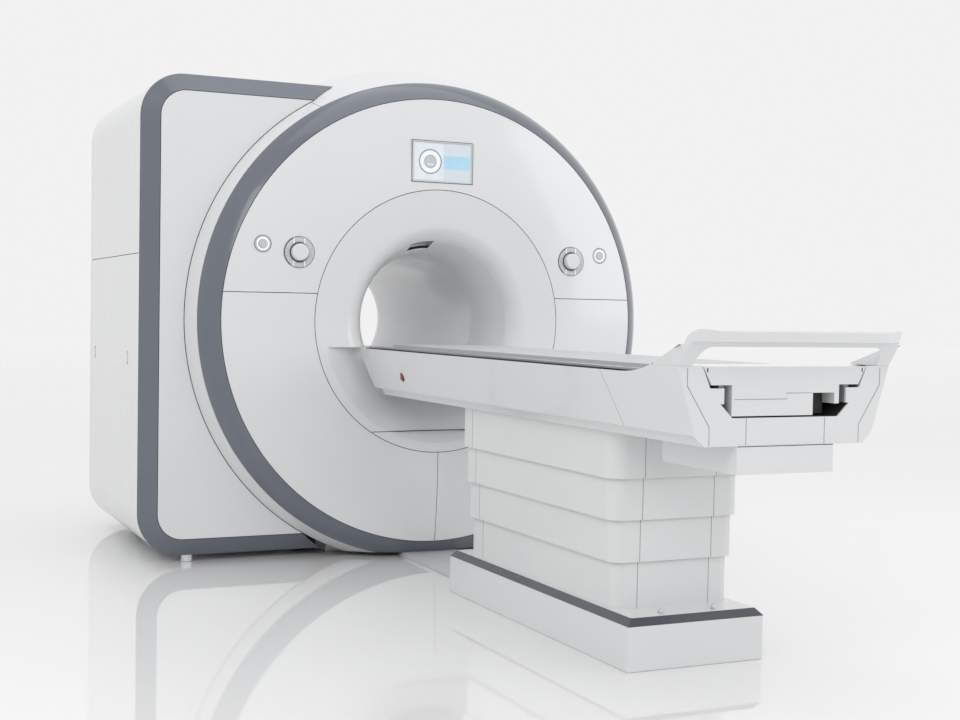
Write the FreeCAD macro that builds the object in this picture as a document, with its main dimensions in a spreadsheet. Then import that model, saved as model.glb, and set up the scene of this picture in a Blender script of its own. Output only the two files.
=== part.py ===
import FreeCAD, Part
import Sketcher
import math
import os

# A whole-body MRI scanner: a ring-fronted gantry with a cabinet wing on its left and a
# lifting patient table in front. X is to the right seen from the front, Y runs into the
# bore, Z is up. The origin lies on the floor under the bore axis, in the plane of the
# front ring's inner edge. Lengths are in millimetres.

SIZES = {
    # gantry
    "bore_height": (1070, "bore axis above the floor"),
    "bore_radius": (300, "inside of the bore liner"),
    "front_dome": (25, "how far the front face stands ahead of the ring"),
    "gantry_depth": (1704, "ring plane to the back face"),
    "funnel_radius": (592, "seam between funnel and front covers"),
    "crease_flare": (80, "where the funnel starts to turn in, outside the lip"),
    "face_crease_depth": (-6, "its place along the bore"),
    "lip_flare": (60, "crease at the bore's lip, outside the bore"),
    "lip_depth": (50, "its place along the bore"),
    "throat_depth": (300, "where the funnel meets the liner"),
    "disc_radius": (1000, "seam between front covers and ring"),
    "ring_radius": (1082, "outer edge of the grey ring"),
    "ring_depth": (84.5, "depth of the grey ring"),
    "strip_radius": (1116, "barrel where it meets the wing's face"),
    "barrel_radius": (1180, "straight part of the barrel"),
    "flare_depth": (350, "end of the barrel's flare"),
    "barrel_end": (1446, "seam between barrel and rear covers"),
    "rear_round": (110, "rounding of the rear edge"),
    "rear_flare": (160, "seam between rear cover and rear funnel, outside the bore"),
    "cover_wall": (6, "thickness of the moulded covers"),
    "seam": (3, "open seam between covers"),
    "floor_gap": (18, "covers above the floor"),
    "side_seam_height": (1185, "horizontal seam of the front covers"),
    "funnel_seam_height": (576, "seam of the lower funnel panel"),
    "crown_seam_angle": (29.9, "barrel seam left of the top, degrees"),
    # wing
    "wing_face": (172, "plane of the wing's front panel"),
    "wing_half": (1224, "frame's inner edge from the bore axis"),
    "wing_top": (2047, "frame's inner edge, top"),
    "wing_bottom": (108, "frame's inner edge, bottom"),
    "wing_corner": (113, "frame's inner corner radius"),
    "trim_width": (77, "width of the grey frame"),
    "trim_depth": (52, "how far the grey frame slopes back"),
    "wing_back": (1440, "rear face of the wing"),
    "wing_round": (60, "rounding of the wing's rear edge"),
    "wing_seam_height": (1345, "horizontal seam of the wing's side"),
    "latch_height": (56, "height of a latch slot"),
    "latch_width": (26, "width of a latch slot"),
    "latch_middle": (887, "latch slots above the floor"),
    # display and controls
    "display_width": (300, "display, outside"),
    "display_height": (188, "display, outside"),
    "display_middle": (1787, "display's centre above the floor"),
    "display_frame": (8, "display bezel's frame"),
    "control_half": (666, "large control unit from the bore axis"),
    "control_height": (1361, "its centre above the floor"),
    "control_radius": (69, "its radius"),
    "knob_radius": (36, "jog knob"),
    "knob_proud": (26, "jog knob in front of its bezel"),
    "key_travel": (3, "travel of the keys and buttons"),
    "button_half": (825, "small round unit from the bore axis"),
    "button_height": (1393, "its centre above the floor"),
    "button_radius": (37, "its radius"),
    "push_radius": (19, "its push button"),
    "run_gap": (0.8, "gap round anything that moves"),
    "fit_gap": (0.6, "gap round what is set into a cover"),
    "base_floor": (20, "bottom of the well in the pedestal base"),
    # magnet
    "liner_wall": (6, "wall of the bore liner"),
    "coil_gap": (10, "radial room between the coils"),
    "rf_wall": (8, "RF body coil"),
    "gradient_room": (21, "between the RF coil and the gradient coil"),
    "gradient_thick": (95, "wall of the gradient coil"),
    "gradient_length": (1340, "gradient coil"),
    "vessel_room": (15, "between the gradient coil and the warm bore"),
    "vessel_radius": (950, "vacuum vessel, outside radius"),
    "vessel_front": (120, "front end of the vacuum vessel"),
    "vessel_length": (1460, "vacuum vessel"),
    "vessel_wall": (12, "vacuum vessel"),
    "cold_room": (65, "between the warm bore and the helium vessel"),
    "helium_radius": (880, "helium vessel, outside radius"),
    "helium_length": (1300, "helium vessel"),
    "helium_wall": (8, "helium vessel"),
    "winding": (70, "width and depth of a main winding"),
    # table
    "base_half": (256, "pedestal base, half width"),
    "base_front": (-2136, "its end away from the gantry"),
    "base_back": (-755, "its end at the gantry"),
    "base_side": (142, "height of its white sides"),
    "base_height": (166, "height of its top"),
    "base_inset": (22, "inset of its sloped trim"),
    "duct_half": (140, "floor duct, half width"),
    "slide_gap": (0.3, "running gap of what slides or rests close"),
    "duct_end": (100, "its end under the gantry"),
    "column_half": (258, "widest column tier, half width"),
    "column_front": (-2024, "its end away from the gantry"),
    "column_back": (-835, "its end at the gantry"),
    "column_round": (60, "its corner radius"),
    "tier_step": (12, "each tier inside the one above"),
    "tier_wall": (5, "wall of a tier"),
    "tier_overlap": (20, "what a tier hides of the next one"),
    "tier_low": (138, "height of the second tier from below"),
    "tier_high": (136, "height of the third tier"),
    "tray_height": (30, "the undertray"),
    "panel_drop": (172, "side panels' upper edge to the undertray's seam"),
    "tray_half_bottom": (281, "undertray, half width at its bottom"),
    "tray_half_top": (295, "undertray, half width at its seam"),
    "side_half_bottom": (313, "side panels, half width at the bottom"),
    "side_half_top": (366, "side panels, half width at the top"),
    "table_drop": (122, "upper edge of the side panels, below the bore axis"),
    "table_end": (-45, "table's end at the gantry"),
    "tail_length": (450, "tail's end to the side seam's top"),
    "seam_lean": (66, "how far the side seam runs back towards its foot"),
    "tail_end": (-2565, "table's end away from the gantry"),
    "tail_rise": (28, "tail's top above the side panels"),
    "side_wall": (8, "wall of the side panels"),
    "rim_half": (349, "grey rim of the tabletop, half width"),
    "rim_height": (10, "rim above the side panels"),
    "deck_drop": (30, "deck that carries the tabletop's rails, below the side panels' edge"),
    "board_half": (235, "tabletop, half width"),
    "board_drop": (16, "underside of the tabletop, below the side panels' edge"),
    "board_thick": (34, "the tabletop"),
    "board_travel": (1750, "travel of the tabletop into the bore"),
    "carriage_half": (190, "carriage block, half width"),
    "carriage_drop": (116, "its underside, below the side panels' edge"),
    "carriage_length": (180, "its length"),
    "tail_box_half": (171, "box under the tail, half width"),
    "box_height": (82, "its height"),
    "box_proud": (3, "how far it stands out of the tail's end"),
    "box_length": (391, "its length"),
    "handle_run": (330, "tail's end to where the side's edge starts to rise"),
    "handle_reach": (97, "handle's outer face behind the tail's end"),
    "handle_rise": (132, "handle's top above the side panels"),
    "handle_bend": (650, "bend of the side's edge as it rises"),
    "handle_slope": (0.36, "rise of the handle's arms along the table"),
    "handle_thick": (34, "height of its outer face"),
    "handle_deep": (40, "its wall, in plan"),
    "handle_corner": (88, "its outer corner radius at the foot"),
    "lift_stroke": (400, "travel of the table"),
    "stage_outer": (92, "lift column's outer tube, half width"),
    "stage_middle": (78, "its middle tube"),
    "stage_inner": (64, "its inner tube"),
    "release_place": (-405, "release button along the table"),
    "release_drop": (110, "its height, below the side panels' edge"),
    "release_radius": (13, "its radius"),
}

doc = FreeCAD.newDocument("mri_scanner")
sheet = doc.addObject("Spreadsheet::Sheet", "Sizes")
for row, (alias, (number, meaning)) in enumerate(SIZES.items(), start=1):
    sheet.set(f"A{row}", meaning)
    sheet.set(f"B{row}", str(number))
    sheet.setAlias(f"B{row}", alias)
doc.recompute()


class Size:
    """A length that keeps both its number and the expression that gives it."""

    def __init__(self, number, text):
        self.number = float(number)
        self.text = text

    def __add__(self, other):
        other = sized(other)
        return Size(self.number + other.number, f"({self.text} + {other.text})")

    def __sub__(self, other):
        other = sized(other)
        return Size(self.number - other.number, f"({self.text} - {other.text})")

    def __mul__(self, other):
        other = sized(other)
        return Size(self.number * other.number, f"({self.text} * {other.text})")

    def __truediv__(self, other):
        other = sized(other)
        return Size(self.number / other.number, f"({self.text} / {other.text})")

    def __neg__(self):
        return Size(-self.number, f"(-{self.text})")

    def __radd__(self, other):
        return sized(other) + self

    def __rsub__(self, other):
        return sized(other) - self

    __rmul__ = __mul__


def sized(thing):
    return thing if isinstance(thing, Size) else Size(thing, f"({float(thing)})")


def root(thing):
    return Size(math.sqrt(thing.number), f"sqrt({thing.text})")


class Sizes:
    """The sheet's cells by alias, as Size values."""

    def __getattr__(self, alias):
        return Size(float(getattr(sheet, alias)), f"Sizes.{alias}")


d = Sizes()
parts = []

# Sizes and places that follow others.
d.lip_radius = d.bore_radius + d.lip_flare
d.face_crease = d.lip_radius + d.crease_flare
d.rear_mouth = d.bore_radius + d.rear_flare
d.gradient_inner = d.bore_radius + d.liner_wall + d.coil_gap + d.rf_wall + d.gradient_room
d.gradient_outer = d.gradient_inner + d.gradient_thick
d.vessel_bore = d.gradient_outer + d.vessel_room
d.helium_bore = d.vessel_bore + d.cold_room
d.side_top = d.bore_height - d.table_drop
d.tray_top = d.side_top - d.panel_drop
d.tray_bottom = d.tray_top - d.tray_height
d.tier_two = (d.base_height + d.tray_bottom) / 2
d.tier_one = d.tier_two - d.tier_low
d.tier_three = d.tier_two + d.tier_high
d.deck_top = d.side_top - d.deck_drop
d.board_bottom = d.side_top - d.board_drop
d.board_top = d.board_bottom + d.board_thick
d.carriage_bottom = d.side_top - d.carriage_drop
d.release_height = d.side_top - d.release_drop
d.tail_top = d.side_top + d.tail_rise
d.tail_seam_top = d.tail_end + d.tail_length
d.tail_seam_bottom = d.tail_seam_top - d.seam_lean
d.tail_box_bottom = d.tray_bottom - d.box_height
d.tail_box_front = d.tail_end - d.box_proud
d.tail_box_back = d.tail_box_front + d.box_length


def bind(thing, name, value):
    value = sized(value)
    if "Sizes." in value.text:
        thing.setExpression(name, value.text)
    else:
        setattr(thing, name, value.number)


def place(thing, x=0, y=0, z=0, turn_y=None):
    """Place an object; turn_y turns it about Y by that many degrees."""
    thing.Placement = FreeCAD.Placement()
    if turn_y is not None:
        thing.Placement.Rotation = FreeCAD.Rotation(FreeCAD.Vector(0, 1, 0), sized(turn_y).number)
        if "Sizes." in sized(turn_y).text:
            thing.setExpression("Placement.Rotation.Angle", f"{sized(turn_y).text} * 1deg")
    for axis, value in zip("xyz", (x, y, z)):
        value = sized(value)
        if value.text != "(0.0)":
            thing.setExpression(f"Placement.Base.{axis}", value.text)
    return thing


def keep(thing, label):
    """Name a finished sub-part."""
    thing.Label = label
    parts.append(thing)
    return thing


# ------------------------------------------------------------------ shape helpers
def origin_feature(body, role):
    return [item for item in body.Origin.OriginFeatures if item.Role == role][0]


def draw(sketch, outline):
    """Draw a closed outline. A point is (x, y), or (x, y, radius) where an arc of that
    radius runs on to the next point, turning left if the radius is positive."""
    count = len(outline)
    points = [(sized(p[0]), sized(p[1])) for p in outline]
    for i, corner in enumerate(outline):
        a = FreeCAD.Vector(points[i][0].number, points[i][1].number, 0)
        after = points[(i + 1) % count]
        b = FreeCAD.Vector(after[0].number, after[1].number, 0)
        if len(corner) == 2:
            sketch.addGeometry(Part.LineSegment(a, b))
            continue
        radius = sized(corner[2]).number
        chord = b - a
        rise = math.sqrt(max(radius ** 2 - (chord.Length / 2) ** 2, 0))
        left = FreeCAD.Vector(-chord.y, chord.x, 0).normalize()
        centre = (a + b) / 2 + left * math.copysign(rise, radius)
        away = (a + b) / 2 - centre
        if away.Length < 1e-6:
            away = -left * math.copysign(1, radius)
        middle = centre + away.normalize() * abs(radius)
        sketch.addGeometry(Part.Arc(a, middle, b))
    ends = []
    for i, corner in enumerate(outline):
        turned = len(corner) == 3 and sized(corner[2]).number < 0
        ends.append((2, 1) if turned else (1, 2))
    for i in range(count):
        after = (i + 1) % count
        sketch.addConstraint(Sketcher.Constraint("Coincident", i, ends[i][1], after, ends[after][0]))
    for i, corner in enumerate(outline):
        for kind, value in zip(("DistanceX", "DistanceY"), points[i]):
            index = sketch.addConstraint(
                Sketcher.Constraint(kind, -1, 1, i, ends[i][0], value.number))
            if "Sizes." in value.text:
                sketch.setExpression(f"Constraints[{index}]", value.text)
        if len(corner) == 3:
            radius = sized(corner[2])
            if radius.number < 0:
                radius = -radius
            index = sketch.addConstraint(Sketcher.Constraint("Radius", i, radius.number))
            if "Sizes." in radius.text:
                sketch.setExpression(f"Constraints[{index}]", radius.text)


def new_sketch(body, name, role, outline):
    sketch = body.newObject("Sketcher::SketchObject", name)
    sketch.AttachmentSupport = [(origin_feature(body, role), "")]
    sketch.MapMode = "FlatFace"
    draw(sketch, outline)
    return sketch


def prism(name, plane, outline, start, end):
    """Pad an outline between two places along the plane's axis.
    plane is XZ (outline in x, z; padded along Y), XY or YZ."""
    body = doc.addObject("PartDesign::Body", name)
    sketch = new_sketch(body, name + "_outline", plane + "_Plane", outline)
    pad = body.newObject("PartDesign::Pad", name + "_pad")
    pad.Profile = sketch
    bind(pad, "Length", sized(end) - start)
    pad.Reversed = plane == "XZ"
    axis = {"XZ": "y", "XY": "z", "YZ": "x"}[plane]
    place(body, **{axis: start})
    return body


def revolve(name, outline, first_angle=None, sweep=360):
    """Turn an outline of (radius, y) points about the bore axis. Angles are in degrees
    clockwise from the top, seen from the front."""
    body = doc.addObject("PartDesign::Body", name)
    sketch = new_sketch(body, name + "_profile", "XY_Plane", outline)
    turned = body.newObject("PartDesign::Revolution", name + "_turned")
    turned.Profile = sketch
    turned.ReferenceAxis = (origin_feature(body, "Y_Axis"), [""])
    bind(turned, "Angle", sweep)
    if first_angle is None:
        place(body, z=d.bore_height)
    else:
        place(body, z=d.bore_height, turn_y=sized(first_angle) - 90)
    return body


def box(name, x0, x1, y0, y1, z0, z1):
    solid = doc.addObject("Part::Box", name)
    bind(solid, "Length", sized(x1) - x0)
    bind(solid, "Width", sized(y1) - y0)
    bind(solid, "Height", sized(z1) - z0)
    return place(solid, x0, y0, z0)


def rod(name, radius, y0, y1, x=0, z=0):
    """A cylinder along Y."""
    solid = doc.addObject("Part::Cylinder", name)
    bind(solid, "Radius", radius)
    bind(solid, "Height", sized(y1) - y0)
    place(solid, x, y0, z)
    solid.Placement.Rotation = FreeCAD.Rotation(FreeCAD.Vector(1, 0, 0), -90)
    return solid


def tube(name, outer, inner, y0, y1, x=0, z=None):
    z = d.bore_height if z is None else z
    return cut(name, rod(name + "_out", outer, y0, y1, x, z),
               rod(name + "_in", inner, sized(y0) - 1, sized(y1) + 1, x, z))


def fuse(name, *solids):
    if len(solids) == 1:
        return solids[0]
    joined = doc.addObject("Part::MultiFuse", name)
    joined.Shapes = list(solids)
    return joined


def group(name, *solids):
    """Separate solids that share one node."""
    together = doc.addObject("Part::Compound", name)
    together.Links = list(solids)
    return together


def cut(name, base, *tools):
    result = doc.addObject("Part::Cut", name)
    result.Base = base
    result.Tool = fuse(name + "_tools", *tools)
    return result


def common(name, base, tool):
    result = doc.addObject("Part::Common", name)
    result.Base = base
    result.Tool = tool
    return result


def rounded(x0, x1, z0, z1, radius):
    """A rectangle with rounded corners, counter-clockwise."""
    x0, x1, z0, z1, r = (sized(value) for value in (x0, x1, z0, z1, radius))
    return [(x0 + r, z0), (x1 - r, z0, r), (x1, z0 + r), (x1, z1 - r, r),
            (x1 - r, z1), (x0 + r, z1, r), (x0, z1 - r), (x0, z0 + r, r)]


def mirrored(thing, name):
    """The same piece on the other side of the bore axis."""
    twin = doc.addObject("Part::Mirroring", name)
    twin.Source = thing
    twin.Normal = FreeCAD.Vector(1, 0, 0)
    return twin


FAR = 3000  # larger than the whole scanner
half_seam = d.seam / 2


def below_floor_gap(name):
    return box(name, -FAR, FAR, -FAR, FAR, -FAR, d.floor_gap)


# ------------------------------------------------------------------ gantry covers
def front_face_shell():
    """The domed disc round the funnel."""
    inner = d.funnel_radius + half_seam
    outer = d.disc_radius - half_seam
    bulge = d.disc_radius * 2.6
    return revolve("front_disc", [
        (inner, -d.front_dome, bulge), (outer, 0),
        (outer, d.cover_wall, -bulge), (inner, d.cover_wall - d.front_dome)])


def window(name, half_width, middle, height, grow):
    """A rectangular cutter through the front face."""
    return box(name, -half_width - grow, half_width + grow, -2 * d.front_dome, 60,
               middle - height / 2 - grow, middle + height / 2 + grow)


def control_holes(side, name):
    return [rod(f"{name}_large", d.control_radius + d.fit_gap, -2 * d.front_dome, 60,
                side * d.control_half, d.control_height),
            rod(f"{name}_small", d.button_radius + d.fit_gap, -2 * d.front_dome, 60,
                side * d.button_half, d.button_height)]


def front_covers():
    level = d.side_seam_height
    disc = front_face_shell()
    display = window("display_hole", d.display_width / 2, d.display_middle, d.display_height, d.fit_gap)
    below = box("under_the_side_seam", -FAR, FAR, -FAR, FAR, -FAR, level + half_seam)
    holes = control_holes(-1, "left_hole") + control_holes(1, "right_hole")
    keep(cut("upper_cover", disc, below, display, *holes), "front_cover_upper")
    for side, name in ((-1, "left"), (1, "right")):
        x0, x1 = (-FAR, -half_seam) if side < 0 else (half_seam, FAR)
        zone = box(f"{name}_zone", x0, x1, -FAR, FAR, 0, level - half_seam)
        keep(common(f"lower_{name}", disc, zone), f"front_cover_{name}")


def funnel_shell(name, rim, crease, crease_depth, lip, lip_depth):
    """A trumpet from the face to the throat, as a shell of the covers' wall."""
    wall = d.cover_wall
    throat = d.bore_radius
    lip_turn = d.lip_radius * 0.3
    throat_turn = d.throat_depth * 1.85
    return revolve(name, [
        (throat, d.throat_depth, throat_turn), (lip, lip_depth, lip_turn), (crease, crease_depth),
        (rim, -d.front_dome), (rim, wall - d.front_dome), (crease, crease_depth + wall, -lip_turn),
        (lip + wall, lip_depth + wall / 2, -throat_turn), (throat + wall, d.throat_depth)])


def funnels():
    """The upper funnel has a ledge at the table's level and a deeper scoop below it."""
    rim = d.funnel_radius - half_seam
    wall = d.cover_wall
    ledge = d.side_top + wall + 3
    face = funnel_shell("funnel_face", rim, d.face_crease, d.face_crease_depth, d.lip_radius, d.lip_depth)
    scoop = revolve("funnel_scoop", [
        (d.bore_radius, d.throat_depth), (d.lip_radius, d.lip_depth + 30), (rim - 40, 4 - d.front_dome),
        (rim, -d.front_dome), (rim, wall - d.front_dome), (rim - 40, 4 + wall - d.front_dome),
        (d.lip_radius + wall, d.lip_depth + 30 + wall / 2), (d.bore_radius + wall, d.throat_depth)])
    above = box("above_ledge", -FAR, FAR, -FAR, FAR, ledge - wall, FAR)
    between = box("between_ledge_and_seam", -FAR, FAR, -FAR, FAR, d.funnel_seam_height + half_seam, ledge)
    below = box("under_funnel_seam", -FAR, FAR, -FAR, FAR, 0, d.funnel_seam_height - half_seam)
    filled_face = revolve("funnel_face_filled", [
        (d.lip_radius, d.lip_depth + 12), (d.face_crease, d.face_crease_depth), (rim, -d.front_dome),
        (rim - 40, 4), (d.lip_radius + 20, d.lip_depth + 30)])
    ledge_zone = box("ledge_zone", -FAR, FAR, -FAR, FAR, ledge - wall, ledge)
    upper = fuse("funnel_parts",
                 common("funnel_above", face, above), common("funnel_scooped", scoop, between),
                 common("funnel_ledge", filled_face, ledge_zone))
    slot = box("light_slot", -d.display_width * 0.4, -10, d.lip_depth - 10, d.lip_depth + 70,
               d.bore_height + d.bore_radius, d.bore_height + d.lip_radius + 40)
    keep(cut("funnel_upper_cut", upper, slot), "funnel_upper")
    glass = box("light_glass", -d.display_width * 0.4 + 0.3, -10.3, d.lip_depth - 9.7, d.lip_depth + 69.7,
                d.bore_height + d.bore_radius, d.bore_height + d.lip_radius + 40)
    glass_shell = revolve("light_glass_shell", [
        (d.bore_radius + 2, d.throat_depth), (d.lip_radius + 2, d.lip_depth - 12),
        (d.lip_radius + 12, d.lip_depth - 12), (d.bore_radius + 12, d.throat_depth)])
    keep(common("light_window_cut", glass_shell, glass), "light_window")
    keep(common("funnel_lower_cut", scoop, below), "funnel_lower")


def ring_trim():
    wall = d.cover_wall
    inner = d.disc_radius + half_seam
    bulge = d.ring_radius * 0.2
    ring = revolve("ring", [
        (inner, 0, bulge), (d.ring_radius, d.ring_depth - half_seam),
        (d.ring_radius - wall, d.ring_depth - half_seam, -bulge), (inner, wall + 3)])
    keep(cut("ring_cut", ring, below_floor_gap("ring_floor")), "front_ring_trim")


def barrel_outline(strip_only):
    wall = d.cover_wall
    start = d.ring_depth + half_seam
    first = d.ring_radius + 1
    if strip_only:
        end = d.wing_face - half_seam
        return [(first, start), (d.strip_radius, end), (d.strip_radius - wall, end), (first - wall, start)]
    end = d.barrel_end - half_seam
    turn = d.flare_depth * 2.2
    knee = d.flare_depth + 20
    return [(first, start), (d.strip_radius, d.wing_face, turn), (d.barrel_radius, knee),
            (d.barrel_radius, end),
            (d.barrel_radius - wall, end), (d.barrel_radius - wall, knee, -turn),
            (d.strip_radius - wall, d.wing_face), (first - wall, start)]


def barrel():
    seam_at = -d.crown_seam_angle
    cover = revolve("barrel", barrel_outline(strip_only=False), seam_at, 180 + d.crown_seam_angle)
    keep(cut("barrel_cut", cover, below_floor_gap("barrel_floor")), "barrel_cover")
    strip = revolve("strip", barrel_outline(strip_only=True), -180, 180 - d.crown_seam_angle - 0.15)
    keep(cut("strip_cut", strip, below_floor_gap("strip_floor")), "barrel_strip_left")


def rear_covers():
    wall = d.cover_wall
    outer, turn, back = d.barrel_radius, d.rear_round, d.gantry_depth
    mouth = d.rear_mouth + half_seam
    shell = revolve("rear_shell", [
        (mouth, back - wall), (outer - turn, back - wall, -(turn - wall)), (outer - wall, back - turn),
        (outer - wall, d.barrel_end + half_seam), (outer, d.barrel_end + half_seam),
        (outer, back - turn, turn), (outer - turn, back), (mouth, back)])
    level = d.side_seam_height
    upper = box("rear_upper_zone", -FAR, FAR, 0, FAR, level + half_seam, FAR)
    lower = box("rear_lower_zone", -FAR, FAR, 0, FAR, d.floor_gap, level - half_seam)
    keep(common("rear_upper", shell, upper), "rear_cover_upper")
    keep(common("rear_lower", shell, lower), "rear_cover_lower")
    trumpet = (d.rear_mouth - d.bore_radius) * 1.08
    start = back - (d.rear_mouth - d.bore_radius) - 20
    funnel = revolve("rear_trumpet", [
        (d.bore_radius, start), (d.bore_radius + wall, start, -(trumpet - wall)),
        (d.rear_mouth - half_seam, back - wall), (d.rear_mouth - half_seam, back, trumpet)])
    keep(funnel, "rear_funnel")
    keep(tube("liner", d.bore_radius + d.liner_wall, d.bore_radius, d.throat_depth + 0.3,
              start - 0.3), "bore_liner")


# ------------------------------------------------------------------ wing
def wing_outline(grow):
    """The wing's C-shaped outline, open towards the bore axis, grown outwards."""
    left, top, bottom = -d.wing_half - grow, d.wing_top + grow, d.wing_bottom - grow
    corner = d.wing_corner + grow
    inside = -300
    return [(inside, top), (left + corner, top, corner), (left, top - corner),
            (left, bottom + corner, corner), (left + corner, bottom), (inside, bottom)]


def barrel_envelope(name, gap):
    """Everything that the barrel takes up, with a seam round it."""
    return revolve(name, [
        (0, -100), (d.strip_radius + gap, -100), (d.strip_radius + gap, d.wing_face, d.flare_depth * 2.2),
        (d.barrel_radius + gap, d.flare_depth + 20), (d.barrel_radius + gap, d.gantry_depth + 100),
        (0, d.gantry_depth + 100)])


def wing():
    wall = d.cover_wall
    envelope = barrel_envelope("barrel_space", d.seam)
    face, slope_end = d.wing_face, d.wing_face + d.trim_depth
    panel = prism("wing_panel", "XZ", wing_outline(-half_seam), face, face + wall)
    keep(cut("wing_panel_cut", panel, envelope), "wing_front_panel")

    trim = doc.addObject("Part::Loft", "trim_slope")
    sketches = []
    for name, grow, depth in (("inner", half_seam, face), ("outer", d.trim_width, slope_end)):
        sketch = doc.addObject("Sketcher::SketchObject", f"trim_{name}")
        draw(sketch, wing_outline(grow))
        sketch.Placement = FreeCAD.Placement(FreeCAD.Vector(), FreeCAD.Rotation(FreeCAD.Vector(1, 0, 0), 90))
        sketch.setExpression("Placement.Base.y", sized(depth).text)
        sketches.append(sketch)
    trim.Sections = sketches
    trim.Solid = True
    trim.Ruled = True
    behind = doc.addObject("Part::Feature", "trim_behind")
    doc.recompute()
    shift = sized(wall * 1.35).number
    behind.Shape = trim.Shape
    behind.Placement = FreeCAD.Placement(FreeCAD.Vector(0, shift, 0), FreeCAD.Rotation())
    middle = prism("trim_middle", "XZ", wing_outline(half_seam), face - 1, slope_end + 20)
    keep(cut("trim_cut", trim, behind, middle, envelope), "wing_trim_frame")

    start = slope_end + half_seam
    outer = prism("wing_shell_out", "XZ", wing_outline(d.trim_width), start, d.wing_back - d.wing_round)
    inner = prism("wing_shell_in", "XZ", wing_outline(d.trim_width - wall), start - 1, d.wing_back)
    envelope_side = barrel_envelope("barrel_space_behind", d.seam)
    slots = []
    for number, depth in enumerate((d.wing_face + 272, d.wing_back - 180)):
        low = d.latch_middle - d.latch_height / 2
        slots.append(box(f"latch_{number}", -FAR, -d.wing_half - d.trim_width + wall / 2,
                         depth, depth + d.latch_width,
                         low, low + d.latch_height))
    feet_holes = []
    for number, depth in enumerate(frame_depths()):
        foot = doc.addObject("Part::Cylinder", f"foot_hole_{number}")
        bind(foot, "Radius", FOOT_RADIUS + 4)
        bind(foot, "Height", 200)
        place(foot, wing_foot_x(), depth + TUBE / 2, -50)
        feet_holes.append(foot)
    shell = cut("wing_shell", outer, inner, envelope_side, *slots, *feet_holes)
    level = d.wing_seam_height
    lower = box("wing_lower_zone", -FAR, 0, 0, FAR, 0, level - half_seam)
    upper = box("wing_upper_zone", -FAR, 0, 0, FAR, level + half_seam, FAR)
    keep(common("wing_lower", shell, lower), "wing_side_lower")
    keep(common("wing_upper", shell, upper), "wing_side_upper")

    rear_start = d.wing_back - d.wing_round + half_seam
    rear_out = prism("wing_rear_out", "XZ", wing_outline(d.trim_width), rear_start, d.wing_back)
    bevel = d.wing_round / 3
    rear_in = prism("wing_rear_in", "XZ", wing_outline(d.trim_width - wall), rear_start - 1,
                    d.wing_back - wall - bevel)
    rounded_rear = doc.addObject("Part::Chamfer", "wing_rear_chamfer")
    doc.recompute()
    rounded_rear.Base = rear_out
    size = bevel.number
    back = d.wing_back.number
    rounded_rear.Edges = [(i + 1, size, size) for i, edge in enumerate(rear_out.Shape.Edges)
                          if abs(edge.BoundBox.YMin - back) < 0.01 and abs(edge.BoundBox.YMax - back) < 0.01
                          and edge.BoundBox.XMin < -d.wing_half.number * 0.3
                          and edge.BoundBox.XMax < -301]
    keep(cut("wing_rear_cut", rounded_rear, rear_in, barrel_envelope("barrel_space_rear", d.seam)),
         "wing_rear_cover")


FOOT_RADIUS = 25


TUBE = 40  # square tube of the frames


def frame_depths():
    """Where the wing frame's front and rear hoops start."""
    return (d.wing_face + d.cover_wall + 60, d.wing_back - d.wing_round - 60)


def wing_foot_x():
    return -d.wing_half + 130 + TUBE / 2


def wing_frame():
    """A welded frame of square tube that carries the wing's covers."""
    left = -d.wing_half - d.trim_width + d.cover_wall + 0.3
    low = d.wing_bottom - d.trim_width + d.cover_wall + 0.3
    high = d.wing_top + d.trim_width - d.cover_wall - 0.3
    corner = d.wing_corner + d.trim_width
    pieces = []
    for number, depth in enumerate(frame_depths()):
        pieces.append(box(f"post_{number}", left, left + TUBE, depth, depth + TUBE,
                          low + corner, high - corner))
        pieces.append(box(f"sill_{number}", left + corner, -d.wing_half + 600, depth, depth + TUBE,
                          low, low + TUBE))
        pieces.append(box(f"header_{number}", left + corner, -d.wing_half + 600, depth, depth + TUBE,
                          high - TUBE, high))
        pieces.append(box(f"stile_{number}", -d.wing_half + 130, -d.wing_half + 130 + TUBE, depth,
                          depth + TUBE, low, high))
        if number == 0:
            trim_back = d.wing_face + d.trim_depth + d.slide_gap
            for bracket, level in enumerate((d.wing_bottom + 300, d.wing_top - 300)):
                pieces.append(box(f"trim_bracket_{bracket}", left, left + TUBE, trim_back, depth + TUBE,
                                  level, level + TUBE))
        for rail, level in enumerate((d.wing_bottom + 160, d.wing_seam_height - 60, d.wing_top - 200)):
            pieces.append(box(f"rung_{number}_{rail}", left, -d.wing_half + 130 + TUBE, depth,
                              depth + TUBE, level, level + TUBE))
        foot = doc.addObject("Part::Cylinder", f"wing_foot_{number}")
        bind(foot, "Radius", FOOT_RADIUS)
        bind(foot, "Height", low + TUBE)
        place(foot, wing_foot_x(), depth + TUBE / 2, 0)
        pieces.append(foot)
    long_start = d.wing_face + d.cover_wall + 0.3
    long_end = d.wing_back - d.cover_wall - d.wing_round / 3 - 0.3
    for number, level in enumerate((d.wing_bottom + 160, d.wing_seam_height - 60, d.wing_top - 200)):
        pieces.append(box(f"stringer_{number}", -d.wing_half + 130, -d.wing_half + 130 + TUBE,
                          long_start, long_end, level, level + TUBE))
    for number, depth in enumerate(frame_depths()):
        level = d.wing_seam_height - 60
        rise = level - d.bore_height
        reach = -root(d.vessel_radius * d.vessel_radius - rise * rise) - d.slide_gap
        pieces.append(box(f"magnet_tie_{number}", -d.wing_half + 130, reach, depth, depth + TUBE,
                          level, level + TUBE))
    keep(fuse("wing_frame_welded", *pieces), "wing_frame")


# ------------------------------------------------------------------ display and controls
def face_depth(radius):
    """How far ahead of the ring plane the front covers stand at a radius."""
    span = d.disc_radius - d.funnel_radius
    return d.front_dome * (d.disc_radius - radius) / span


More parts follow.
